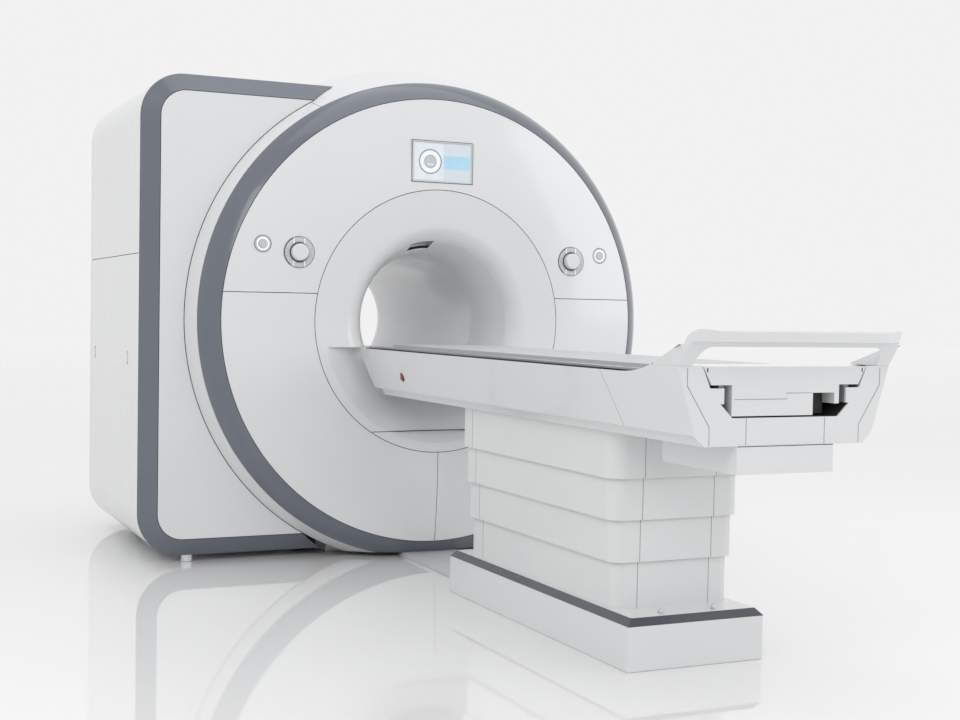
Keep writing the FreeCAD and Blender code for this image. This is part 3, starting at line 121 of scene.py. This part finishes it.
def brushed(name, colour, rough):
    """Machined metal with fine lines."""
    material, tree, shader = new_material(name)
    coords = tree.nodes.new("ShaderNodeTexCoord")
    stretch = tree.nodes.new("ShaderNodeMapping")
    stretch.inputs["Scale"].default_value = (400, 6, 400)
    lines = tree.nodes.new("ShaderNodeTexNoise")
    lines.inputs["Scale"].default_value = 1.0
    tree.links.new(coords.outputs["Object"], stretch.inputs["Vector"])
    tree.links.new(stretch.outputs["Vector"], lines.inputs["Vector"])
    shader.inputs["Base Color"].default_value = (*colour, 1)
    shader.inputs["Metallic"].default_value = 1.0
    tree.links.new(span(tree, lines.outputs["Fac"], rough * 0.8, rough * 1.3), shader.inputs["Roughness"])
    bump(tree, shader, lines.outputs["Fac"], 0.15, 0.0003)
    return material


def glowing(name, colour, strength):
    """A lit area, slightly uneven, under clear glass."""
    material, tree, shader = new_material(name)
    dimmer = tuple(channel * 0.93 for channel in colour)
    mixed = tint(tree, span(tree, noise(tree, 30.0, 2.0), 0.0, 1.0), colour, dimmer)
    tree.links.new(mixed, shader.inputs["Base Color"])
    tree.links.new(mixed, shader.inputs["Emission Color"])
    shader.inputs["Emission Strength"].default_value = strength
    shader.inputs["Roughness"].default_value = 0.2
    return material


def make_materials():
    kinds = {
        "white": lacquer("gloss_white", (0.735, 0.742, 0.75), (0.715, 0.722, 0.732), 0.22, coat=0.45,
                         peel=0.012),
        "satin": lacquer("satin_white", (0.75, 0.757, 0.76), (0.73, 0.737, 0.742), 0.34, coat=0.1,
                         peel=0.015),
        "slate": lacquer("slate_gloss", (0.125, 0.142, 0.176), (0.118, 0.134, 0.167), 0.20, coat=0.6,
                         peel=0.008),
        "base_slate": lacquer("base_slate", (0.060, 0.068, 0.084), (0.053, 0.060, 0.075), 0.24, coat=0.5,
                              peel=0.008),
        "grey": lacquer("light_grey", (0.60, 0.61, 0.625), (0.56, 0.57, 0.585), 0.36),
        "rim": lacquer("rim_grey", (0.27, 0.295, 0.335), (0.24, 0.265, 0.305), 0.22, coat=0.4),
        "top": lacquer("tabletop_laminate", (0.56, 0.57, 0.58), (0.53, 0.54, 0.55), 0.42, peel=0.05,
                       grain=500.0),
        "red": lacquer("red_button", (0.30, 0.012, 0.012), (0.24, 0.01, 0.01), 0.3, coat=0.3),
        "steel": brushed("vessel_steel", (0.62, 0.63, 0.65), 0.35),
        "alloy": brushed("frame_alloy", (0.75, 0.76, 0.78), 0.4),
        "copper": brushed("winding_copper", (0.72, 0.42, 0.28), 0.38),
        "resin": lacquer("cast_resin", (0.34, 0.26, 0.17), (0.28, 0.21, 0.14), 0.5, peel=0.1, grain=220.0),
        "glass": lacquer("smoked_glass", (0.10, 0.105, 0.11), (0.12, 0.125, 0.13), 0.08, coat=0.8),
        # Black of the real seals in the seams, also used as painted shade for the rim shadow strips and the
        # channel sheets.
        "seal": lacquer("seal_rubber_and_shade_black", (0.012, 0.012, 0.013), (0.02, 0.02, 0.021), 0.7, peel=0.05),
        "outline": lacquer("outline_grey", (0.10, 0.105, 0.11), (0.08, 0.085, 0.09), 0.5),
        "hairline": lacquer("hairline_grey", (0.16, 0.165, 0.175), (0.13, 0.135, 0.14), 0.6),
        "faint": lacquer("faint_print", (0.42, 0.43, 0.45), (0.38, 0.39, 0.41), 0.5),
        # Painted shade for the recess of the carriage's socket.
        "socket": lacquer("socket_painted_shade", (0.045, 0.045, 0.043), (0.02, 0.02, 0.02), 0.45),
        "glow": glowing("key_light", (0.95, 0.97, 1.0), 0.25),
        "screen_band": glowing("screen_band_blue", (0.42, 0.66, 0.80), 0.12),
        "screen_panel": glowing("screen_panel_pale", (0.72, 0.78, 0.82), 0.12),
        "screen_light": glowing("screen_light", (0.86, 0.89, 0.91), 0.12),
        "screen_line": glowing("screen_line_grey", (0.30, 0.34, 0.38), 0.03),
        "screen_shade": glowing("screen_shade_grey", (0.52, 0.57, 0.61), 0.08),
        "screen": lacquer("screen_back", (0.66, 0.74, 0.80), (0.70, 0.77, 0.82), 0.12, coat=0.8),
    }
    return kinds


FINISH = {
    "white": ["front_cover_upper", "front_cover_left", "front_cover_right", "funnel_upper", "funnel_lower",
              "barrel_cover", "barrel_strip_left", "rear_cover_upper", "rear_cover_lower", "rear_funnel",
              "bore_liner", "wing_front_panel", "wing_side_lower", "wing_side_upper", "wing_rear_cover",
              "pedestal_base", "table_side_left", "table_side_right", "table_undertray", "tail_shell",
              "tail_box", "tail_handle", "tabletop_carriage", "jog_knob_left", "jog_knob_right"],
    "satin": ["skirt_tier_bottom", "skirt_tier_lower", "skirt_tier_upper", "skirt_tier_top", "bore_bed"],
    "slate": ["front_ring_trim", "wing_trim_frame"],
    "base_slate": ["pedestal_trim"],
    "grey": ["display_bezel", "control_bezels", "table_up_key_left", "table_up_key_right",
             "table_down_key_left", "table_down_key_right", "stop_button_left", "stop_button_right",
             "floor_duct"],
    "rim": ["table_deck"],
    "top": ["tabletop"],
    "red": ["release_button_left", "release_button_right"],
    "steel": ["vacuum_vessel", "helium_vessel", "magnet_feet"],
    "alloy": ["wing_frame", "cover_hoops", "cold_head", "lift_column_outer", "lift_column_middle",
              "lift_column_inner"],
    "copper": ["main_coils"],
    "resin": ["gradient_coil", "rf_body_coil"],
    "glass": ["light_window"],
    "screen": ["display_screen"],
}


def finish_nodes(kinds):
    for kind, names in FINISH.items():
        for name in names:
            mesh = nodes[name].data
            mesh.materials.clear()
            mesh.materials.append(kinds[kind])


# ---------------------------------------------------------------- light, floor, camera
def area_light(name, place, target, size, power):
    data = bpy.data.lights.new(name, "AREA")
    data.shape = "RECTANGLE"
    data.size, data.size_y = size
    data.energy = power
    light = bpy.data.objects.new(name, data)
    light.location = place
    light.rotation_mode = "QUATERNION"
    light.rotation_quaternion = (Vector(target) - Vector(place)).to_track_quat("-Z", "Y")
    bpy.context.scene.collection.objects.link(light)
    return light


def studio():
    world = bpy.data.worlds.new("studio")
    bpy.context.scene.world = world
    world.use_nodes = True
    sky = world.node_tree.nodes["Background"]
    sky.inputs["Color"].default_value = (0.93, 0.93, 0.93, 1)
    sky.inputs["Strength"].default_value = 0.95
    bpy.context.scene.view_settings.view_transform = "Standard"

    material, _, shader = new_material("studio_floor")
    shader.inputs["Base Color"].default_value = (0.87, 0.87, 0.87, 1)
    shader.inputs["Roughness"].default_value = 0.6
    shader.inputs["Coat Weight"].default_value = 1.0
    shader.inputs["Coat IOR"].default_value = 1.6
    shader.inputs["Coat Roughness"].default_value = 0.045
    half = 40.0  # far past the view
    mesh = bpy.data.meshes.new("floor")
    mesh.from_pydata([(-half, -half, 0), (half, -half, 0), (half, half, 0), (-half, half, 0)], [],
                     [(0, 1, 2, 3)])
    mesh.materials.append(material)
    floor = bpy.data.objects.new("floor", mesh)
    floor.location.z = -0.001
    bpy.context.scene.collection.objects.link(floor)

    middle = (cad_box[0] + cad_box[1]) / 2
    area_light("key", (-6.0, -7.0, 6.5), middle, (5.0, 4.0), 145)
    area_light("top", (0.5, -1.0, 7.5), middle, (6.0, 6.0), 75)
    area_light("side", (6.5, -6.0, 3.0), middle, (4.0, 4.0), 95)
    bore = low("bore_liner").lerp(high("bore_liner"), 0.5)
    behind = area_light("behind_bore", (0, high("rear_cover_upper").y + 0.5, bore.z), bore, (0.6, 0.6), 1.2)
    inside = area_light("bore_light", (0, bore.y, bore.z + 0.27), bore, (0.15, 1.1), 0.3)
    behind.visible_camera = inside.visible_camera = False
    behind.visible_glossy = inside.visible_glossy = False


def camera():
    data = bpy.data.cameras.new("camera")
    data.sensor_width = 36.0
    data.lens = 53.05
    data.clip_end = 200
    eye = bpy.data.objects.new("camera", data)
    yaw, pitch, roll = 0.436, -0.034, 0.017
    ahead = Vector((math.sin(yaw) * math.cos(pitch), math.cos(yaw) * math.cos(pitch), math.sin(pitch)))
    right = Vector((math.cos(yaw), -math.sin(yaw), 0))
    up = right.cross(ahead)
    leaned_right = right * math.cos(roll) + up * math.sin(roll)
    leaned_up = -right * math.sin(roll) + up * math.cos(roll)
    turn = Matrix((leaned_right, leaned_up, -ahead)).transposed().to_4x4()
    eye.matrix_world = Matrix.Translation(Vector((-2.5346, -5.899, 1.1169))) @ turn
    bpy.context.scene.collection.objects.link(eye)
    bpy.context.scene.camera = eye


# ---------------------------------------------------------------- pieces
AXIS_HEIGHT = 1.070  # of the bore
SEAM = 0.003  # width of a seal
LINE_THICK = 0.0008
HAIR = 0.0016  # width of a fine joint
SUNK = 0.0015  # how deep a seal lies in its seam
PROUD = 0.0003  # how far a line stands on its surface
FRONT = Vector((0, -1, 0))
UP = Vector((0, 0, 1))


def strip(name, path, normal, width, body, kind, thick=0.004, closed=False):
    """A flat-topped band along a path. normal is one direction or a function of a point;
    the path runs along the middle of the band's top."""
    path = [Vector(point) for point in path]
    facing = normal if callable(normal) else (lambda point: normal)
    count = len(path)
    shape = bmesh.new()
    rings = []
    for i, point in enumerate(path):
        before = path[i - 1] if i or closed else point
        after = path[(i + 1) % count] if i < count - 1 or closed else point
        along = (after - before).normalized()
        out = facing(point).normalized()
        across = along.cross(out).normalized()
        turn = 1.0
        if point != before and point != after:
            bend = (point - before).normalized().dot((after - point).normalized())
            turn = 1 / max(math.sqrt(max((1 + bend) / 2, 0.1)), 0.3)
        reach = across * (width / 2 * turn)
        rings.append([shape.verts.new(corner) for corner in (
            point - reach, point + reach, point + reach - out * thick, point - reach - out * thick)])
    for i in range(count if closed else count - 1):
        first, second = rings[i], rings[(i + 1) % count]
        for k in range(4):
            shape.faces.new((first[k], first[(k + 1) % 4], second[(k + 1) % 4], second[k]))
    if not closed:
        shape.faces.new(rings[0][::-1])
        shape.faces.new(rings[-1])
    bmesh.ops.recalc_face_normals(shape, faces=shape.faces)
    mesh = bpy.data.meshes.new(name)
    shape.to_mesh(mesh)
    shape.free()
    mesh.materials.append(kinds[kind])
    piece = bpy.data.objects.new(name, mesh)
    bpy.context.scene.collection.objects.link(piece)
    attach(piece, body)
    return piece


def arc(radius, y, first=0.0, last=360.0, x=0.0, z=AXIS_HEIGHT, steps=128):
    """Points round the bore axis, or round (x, z), from one angle to another, counted from +X."""
    full = abs(last - first) >= 360
    spans = steps if full else steps - 1
    turns = [math.radians(first + (last - first) * i / spans) for i in range(steps)]
    return [(x + radius * math.cos(t), y, z + radius * math.sin(t)) for t in turns]


def ring(name, inner, outer, y, body, kind, x=0.0, z=AXIS_HEIGHT, thick=LINE_THICK, steps=48):
    return strip(name, arc((inner + outer) / 2, y, x=x, z=z, steps=steps), FRONT, outer - inner,
                 body, kind, thick, closed=True)


def rounded_path(left, right, bottom, top, corner, y, steps=8):
    points = []
    for x, z, first in ((right - corner, top - corner, 0), (left + corner, top - corner, 90),
                        (left + corner, bottom + corner, 180), (right - corner, bottom + corner, 270)):
        points += arc(corner, y, first, first + 90, x, z, steps)
    return points


def between(start, end, steps=2):
    start, end = Vector(start), Vector(end)
    return [start.lerp(end, i / (steps - 1)) for i in range(steps)]


FUNNEL_RADIUS, DISC_RADIUS, STRIP_RADIUS = 0.592, 1.000, 1.116
DOME = 0.025  # how far the funnel's edge stands ahead of the disc's
KNOB_PLACE, STOP_PLACE = (0.666, 1.361), (0.825, 1.393)  # across and up


def face_depth(radius):
    """How far the front covers stand ahead of the ring plane."""
    return DOME * (DISC_RADIUS - radius) / (DISC_RADIUS - FUNNEL_RADIUS)


def on_face(x, z):
    return (x, SUNK - face_depth(math.hypot(x, z - AXIS_HEIGHT)), z)


def gantry_seals():
    """Dark seals in the seams between the covers."""
    def seal(name, path, normal=FRONT, closed=False):
        strip(name, path, normal, SEAM, "gantry", "seal", closed=closed)

    seal("seal_funnel", arc(FUNNEL_RADIUS, SUNK - DOME), closed=True)
    seal("seal_disc", arc(DISC_RADIUS, SUNK, steps=180), closed=True)
    height = 1.185
    rise = height - AXIS_HEIGHT
    near, far = (math.sqrt(r * r - rise * rise) for r in (FUNNEL_RADIUS + SEAM, DISC_RADIUS - SEAM))
    for side, name in ((-1, "left"), (1, "right")):
        seal(f"seal_side_{name}", [on_face(side * (near + (far - near) * i / 8), height) for i in range(9)])
    seal("seal_foot", [on_face(0, AXIS_HEIGHT - FUNNEL_RADIUS - SEAM - 0.403 * i / 8) for i in range(9)])
    scoop, lean = 0.576, 0.125
    points = []
    for i in range(21):
        x = 0.318 * (i / 10 - 1)
        radius = math.hypot(x, scoop - AXIS_HEIGHT)
        points.append((x, SUNK - DOME + (FUNNEL_RADIUS - radius) * lean, scoop))
    seal("seal_scoop", points)

    face, half, top, bottom, corner = 0.172, 1.224, 2.047, 0.108, 0.113
    seal("seal_wing_ring", arc(STRIP_RADIUS, face + SUNK, 119.5, 239.0, steps=96))
    frame_path = ([(-0.545, face + SUNK, top)] + arc(corner, face + SUNK, 90, 180, -half + corner,
                                                     top - corner, 10)
                  + arc(corner, face + SUNK, 180, 270, -half + corner, bottom + corner, 10)
                  + [(-0.575, face + SUNK, bottom)])
    seal("seal_wing_frame", frame_path)
    wide = 0.077
    edge, round_out = face + 0.0535, corner + wide
    middle = Vector((-half + corner, 0, 0))

    def outwards(point):
        z = min(max(point.z, bottom + corner), top - corner)
        x = max(point.x, middle.x)
        return Vector((point.x - x, 0, point.z - z))

    sunk_out = round_out - SUNK
    outer = ([(-0.50, edge, top + wide - SUNK)] + arc(sunk_out, edge, 90, 180, middle.x, top - corner, 12)
             + arc(sunk_out, edge, 180, 270, middle.x, bottom + corner, 12)
             + [(-0.62, edge, bottom - wide + SUNK)])
    seal("seal_wing_outer", outer, outwards)

    crown = math.radians(90 + 29.9)

    def radial(_):
        return Vector((math.cos(crown), 0, math.sin(crown)))

    seal("seal_crown", [(r * math.cos(crown), y, AXIS_HEIGHT + r * math.sin(crown))
                        for r, y in ((1.0815, 0.088), (1.1145, 0.171))], radial)
    side = low("wing_side_lower").x + SUNK
    seal("seal_wing_side", between((side, 0.229, 1.345), (side, 1.375, 1.345)), Vector((-1, 0, 0)))
    for number, along in enumerate((0.444, 1.260)):
        y0, y1, z0, z1 = along, along + 0.026, 0.859, 0.915
        strip(f"latch_line_{number}", [(side, y1, z1 - 0.002), (side, y0 + 0.002, z1 - 0.002),
                                       (side, y0 + 0.002, z0 + 0.002), (side, y1, z0 + 0.002)],
              Vector((-1, 0, 0)), 0.003, "gantry", "seal", thick=0.001)


def display_parts():
    """The screen's outline and its plain graphic."""
    lowest, highest = low("display_bezel"), high("display_bezel")
    inset = 0.0013
    face = lowest.y - PROUD
    strip("display_outline", rounded_path(lowest.x + inset, highest.x - inset, lowest.z + inset,
                                          highest.z - inset,
                                          0.009, face), FRONT, 0.0026, "gantry", "outline",
          thick=LINE_THICK, closed=True)
    glass = low("display_screen")
    size = high("display_screen") - glass
    face = glass.y - PROUD
    middle = glass.z + size.z / 2
    icon = glass.x + size.x * 0.29
    strip("display_band", between((glass.x + size.x * 0.52, face, middle),
                                  (glass.x + size.x * 0.985, face, middle)),
          FRONT, size.z * 0.34, "gantry", "screen_band", thick=PROUD)
    strip("display_panel", between((glass.x + size.x * 0.02, face, middle),
                                   (glass.x + size.x * 0.52, face, middle)),
          FRONT, size.z * 0.94, "gantry", "screen_panel", thick=PROUD)
    for name, inner, outer, kind in (("outer", 0.050, 0.056, "screen_line"),
                                     ("face", 0.030, 0.050, "screen_light"),
                                     ("inner", 0.027, 0.030, "screen_line"),
                                     ("bore", 0.001, 0.027, "screen_shade")):
        ring(f"display_ring_{name}", inner, outer, face - PROUD, "gantry", kind, icon, middle,
             PROUD)
    strip("display_ring_table", between((icon - 0.016, face - 3 * PROUD, middle - 0.012),
                                        (icon + 0.016, face - 3 * PROUD, middle - 0.012)),
          FRONT, 0.004, "gantry", "screen_light", thick=PROUD)


def control_lines():
    """Outlines, lit bands and dots on the four round control units."""
    for side, name in ((-1, "left"), (1, "right")):
        x, z = side * KNOB_PLACE[0], KNOB_PLACE[1]
        face = -face_depth(math.sqrt(KNOB_PLACE[0] ** 2 + 0.085)) - 0.008 - PROUD
        ring(f"control_outline_{name}", 0.0668, 0.0685, face, "gantry", "outline", x, z)
        strip(f"control_shade_{name}", arc(0.0655, face, 115, 235, x, z, 24), FRONT, 0.0035, "gantry",
              "outline", thick=LINE_THICK)
        ring(f"knob_gap_{name}", 0.0385, 0.0435, face, "gantry", "seal", x, z)
        ring(f"control_inner_{name}", 0.0475, 0.0485, face, "gantry", "faint", x, z)
        for number, (edge, up) in enumerate(((-0.024, 1), (0.024, 1), (-0.024, -1), (0.024, -1))):
            reach = math.sqrt(0.0655 ** 2 - edge ** 2)
            strip(f"control_band_{name}_{number}", between((x + edge, face - PROUD, z + up * 0.038),
                                                          (x + edge, face - PROUD, z + up * reach)),
                  FRONT, 0.0035, "gantry", "glow", thick=LINE_THICK)
        for number, angle in enumerate((165, 180, 195, -15, 0, 15)):
            turn = math.radians(angle)
            cx, cz = x + 0.0565 * math.cos(turn), z + 0.0565 * math.sin(turn)
            ring(f"control_dot_{name}_{number}", 0.0008, 0.0028, face, "gantry", "faint", cx,
                 cz,
                 steps=12)
        x, z = side * STOP_PLACE[0], STOP_PLACE[1]
        face = -face_depth(math.sqrt(STOP_PLACE[0] ** 2 + 0.104)) - 0.008 - PROUD
        ring(f"stop_outline_{name}", 0.0345, 0.0365, face, "gantry", "outline", x, z)
        ring(f"stop_glow_{name}", 0.0215, 0.0275, face, "gantry", "glow", x, z)
        button = low(f"stop_button_{name}")
        ring(f"stop_cap_{name}", 0.0100, 0.0112, button.y - PROUD, f"stop_button_{name}", "faint",
             x, z)


# ---------------------------------------------------------------- table
TAIL_END = -2.565
TAIL_SEAM = -2.117  # where the tail begins
SIDE_TOP = 0.948
SIDE_LEAN, SIDE_DROP = 0.053, 0.172  # the side panels slope in by one over the other


def side_half(height):
    """Half width between the outsides of the sloped side panels."""
    return 0.366 + SIDE_LEAN / SIDE_DROP * (height - SIDE_TOP)


def side_edge():
    """Points (y, z) along the side's upper edge as it rises into the handle, from the seam on."""
    start, bend, slope = TAIL_END + 0.330, 0.650, 0.36
    last = math.atan(slope)
    points = [(TAIL_SEAM, SIDE_TOP), (start, SIDE_TOP)]
    for i in range(1, 13):
        turn = last * i / 12
        points.append((start - bend * math.sin(turn), SIDE_TOP + bend * (1 - math.cos(turn))))
    y, z = points[-1]
    knee = TAIL_END - 0.030
    return points + [(knee, z + (y - knee) * slope)]


def table_lines():
    """Lines on the sides and the tail, and black sheets of painted shade lining the tail's channel."""
    for side, name in ((-1, "left"), (1, "right")):
        strip(f"rim_shadow_{name}", between((side * 0.3575, -0.050, 0.9515),
                                            (side * 0.3575, TAIL_SEAM, 0.9515)), UP,
              0.013, "table", "seal", thick=0.005)
        strip(f"arm_strip_{name}", [(side * (side_half(z) - 0.0055), y, z + 0.0006) for y, z in side_edge()],
              UP,
              0.007, "table", "rim", thick=0.0012)
        lean = math.atan2(SIDE_LEAN, SIDE_DROP)
        out = Vector((side * math.cos(lean), 0, -math.sin(lean)))
        across, upward = Vector((0, 1, 0)), Vector((side * math.sin(lean), 0, math.cos(lean)))
        middle = Vector((side * side_half(0.838), -0.405, 0.838)) + out * PROUD
        circle = [middle + (across * math.cos(t) + upward * math.sin(t)) * 0.0165
                  for t in (2 * math.pi * i / 32 for i in range(32))]
        strip(f"release_ring_{name}", circle, out, 0.005, "table", "seal", thick=LINE_THICK,
              closed=True)
        marks = [middle + across * a + upward * b for a,
                 b in ((-0.024, -0.020), (0.020, -0.020), (-0.028, 0.045))]
        strip(f"release_mark_{name}", marks, out, 0.0012, "table", "faint", thick=0.0006,
              closed=True)
        face = TAIL_END - PROUD
        shell = [(side * 0.341, face, 0.970), (side * 0.341, face, 0.920), (side * 0.265, face, 0.802),
                 (side * 0.265, face, 0.749)]
        strip(f"tail_seam_{name}", shell, FRONT, HAIR, "table", "hairline", thick=LINE_THICK)
        strip(f"tail_upright_{name}", between((side * 0.139, face, 0.749), (side * 0.139, face, 0.825)),
              FRONT,
              HAIR, "table", "hairline", thick=LINE_THICK)
        strip(f"tail_slot_{name}", between((side * 0.274, face, 0.958), (side * 0.274, face, 0.969)), FRONT,
              0.004, "sliding_top", "seal", thick=LINE_THICK)
    face = low("tail_box").y - PROUD
    strip("tail_box_line", between((-0.170, face, 0.7447), (0.170, face, 0.7447)), FRONT, 0.002, "table",
          "seal",
          thick=LINE_THICK)
    # Black sheets on the channel's shelf, slopes and floor are painted shade: they darken the channel where
    # shade falls.
    start, end = TAIL_END + 0.006, TAIL_END + 0.170
    shelf, throat, hook, foot, floor = 0.912, 0.216, 0.228, 0.187, 0.827
    shade_lift = 0.0007
    for side, name in ((-1, "left"), (1, "right")):
        for number, (x, z, x2, z2, normal) in enumerate((
                (0.264, shelf, 0.217, shelf, (0, 0, 1)), (hook, 0.866, foot, floor, (-0.69, 0, 0.72)))):
            mid = Vector((side * (x + x2) / 2, 0, (z + z2) / 2))
            out = Vector((side * normal[0], 0, normal[2])).normalized()
            mid += out * shade_lift
            strip(f"channel_painted_shade_{name}_{number}", between((mid.x, start, mid.z), (mid.x, end, mid.z)), out,
                  math.hypot(x - x2, z - z2) * 0.98, "table", "seal", thick=0.0005)
    strip("channel_painted_shade_floor", between((0, start, floor + shade_lift), (0, end, floor + shade_lift)), UP, 2 * foot,
          "table",
          "seal", thick=0.0005)
    step = [(-0.181, TAIL_END - PROUD, 0.880), (0.0, TAIL_END - PROUD, 0.880), (0.0, TAIL_END - PROUD, 0.897),
            (0.094, TAIL_END - PROUD, 0.897)]
    strip("carriage_step", step, FRONT, 0.0012, "sliding_top", "hairline", thick=LINE_THICK)
    # A black plate set back in the carriage's socket is painted shade, so the recess looks dark.
    strip("socket_shade_plate", between((0.0955, TAIL_END + 0.055, 0.8645), (0.1725, TAIL_END + 0.055, 0.8645)),
          FRONT,
          0.064, "sliding_top", "socket", thick=0.003)


def skirt_lines():
    """The joints between the skirt's panels, and what holds the column down."""
    step, overlap = 0.012, 0.020
    tiers = (("skirt_tier_bottom", "gantry"), ("skirt_tier_lower", "skirt_lower"),
             ("skirt_tier_upper", "skirt_upper"), ("skirt_tier_top", "table"))
    for level, (node, body) in enumerate(tiers):
        inset = step * (3 - level)
        half, front, back = 0.258 - inset, -2.024 + inset, -0.835 - inset
        bottom = low(node).z + 0.001
        top = high(node).z - (overlap + 0.001 if level < 3 else 0.001)
        for side, name in ((-1, "left"), (1, "right")):
            strip(f"{node}_front_{name}", between((side * 0.1367, front - PROUD, bottom),
                                                  (side * 0.1367, front - PROUD, top)),
                  FRONT, HAIR, body, "hairline", thick=LINE_THICK)
            x, y = side * (half + PROUD), back - 0.120
            strip(f"{node}_side_{name}", between((x, y, bottom), (x, y, top)), Vector((side, 0, 0)), HAIR,
                  body, "hairline", thick=LINE_THICK)
    for number, x in enumerate((-0.10, 0.10)):
        base = Vector((x, -2.075, high("pedestal_base").z))
        turned = [(0.0, 0.0115), (0.0055, 0.0115), (0.0070, 0.0100), (0.0075, 0.0030), (0.0110, 0.0022),
                  (0.0115, 0.0)]
        lathe(f"base_fixing_{number}", base, turned, "gantry", "steel")


def lathe(name, base, profile, body, kind, steps=24):
    """A turned piece on a vertical axis: profile is (radius, height) from the top down."""
    shape = bmesh.new()
    rings = []
    for radius, height in profile[1:]:
        rings.append([shape.verts.new(base + Vector((radius * math.cos(t), radius * math.sin(t), height)))
                      for t in (2 * math.pi * i / steps for i in range(steps))])
    crown = shape.verts.new(base + Vector((0, 0, profile[0][1])))
    for i in range(steps):
        after = (i + 1) % steps
        shape.faces.new((crown, rings[0][i], rings[0][after]))
        for upper, lower in zip(rings, rings[1:]):
            shape.faces.new((upper[i], lower[i], lower[after], upper[after]))
    shape.faces.new(rings[-1][::-1])
    bmesh.ops.recalc_face_normals(shape, faces=shape.faces)
    for face in shape.faces:
        face.smooth = True
    mesh = bpy.data.meshes.new(name)
    shape.to_mesh(mesh)
    shape.free()
    mesh.materials.append(kinds[kind])
    piece = bpy.data.objects.new(name, mesh)
    bpy.context.scene.collection.objects.link(piece)
    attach(piece, body)


kinds = make_materials()
finish_nodes(kinds)
gantry_seals()
display_parts()
control_lines()
table_lines()
skirt_lines()
studio()
camera()
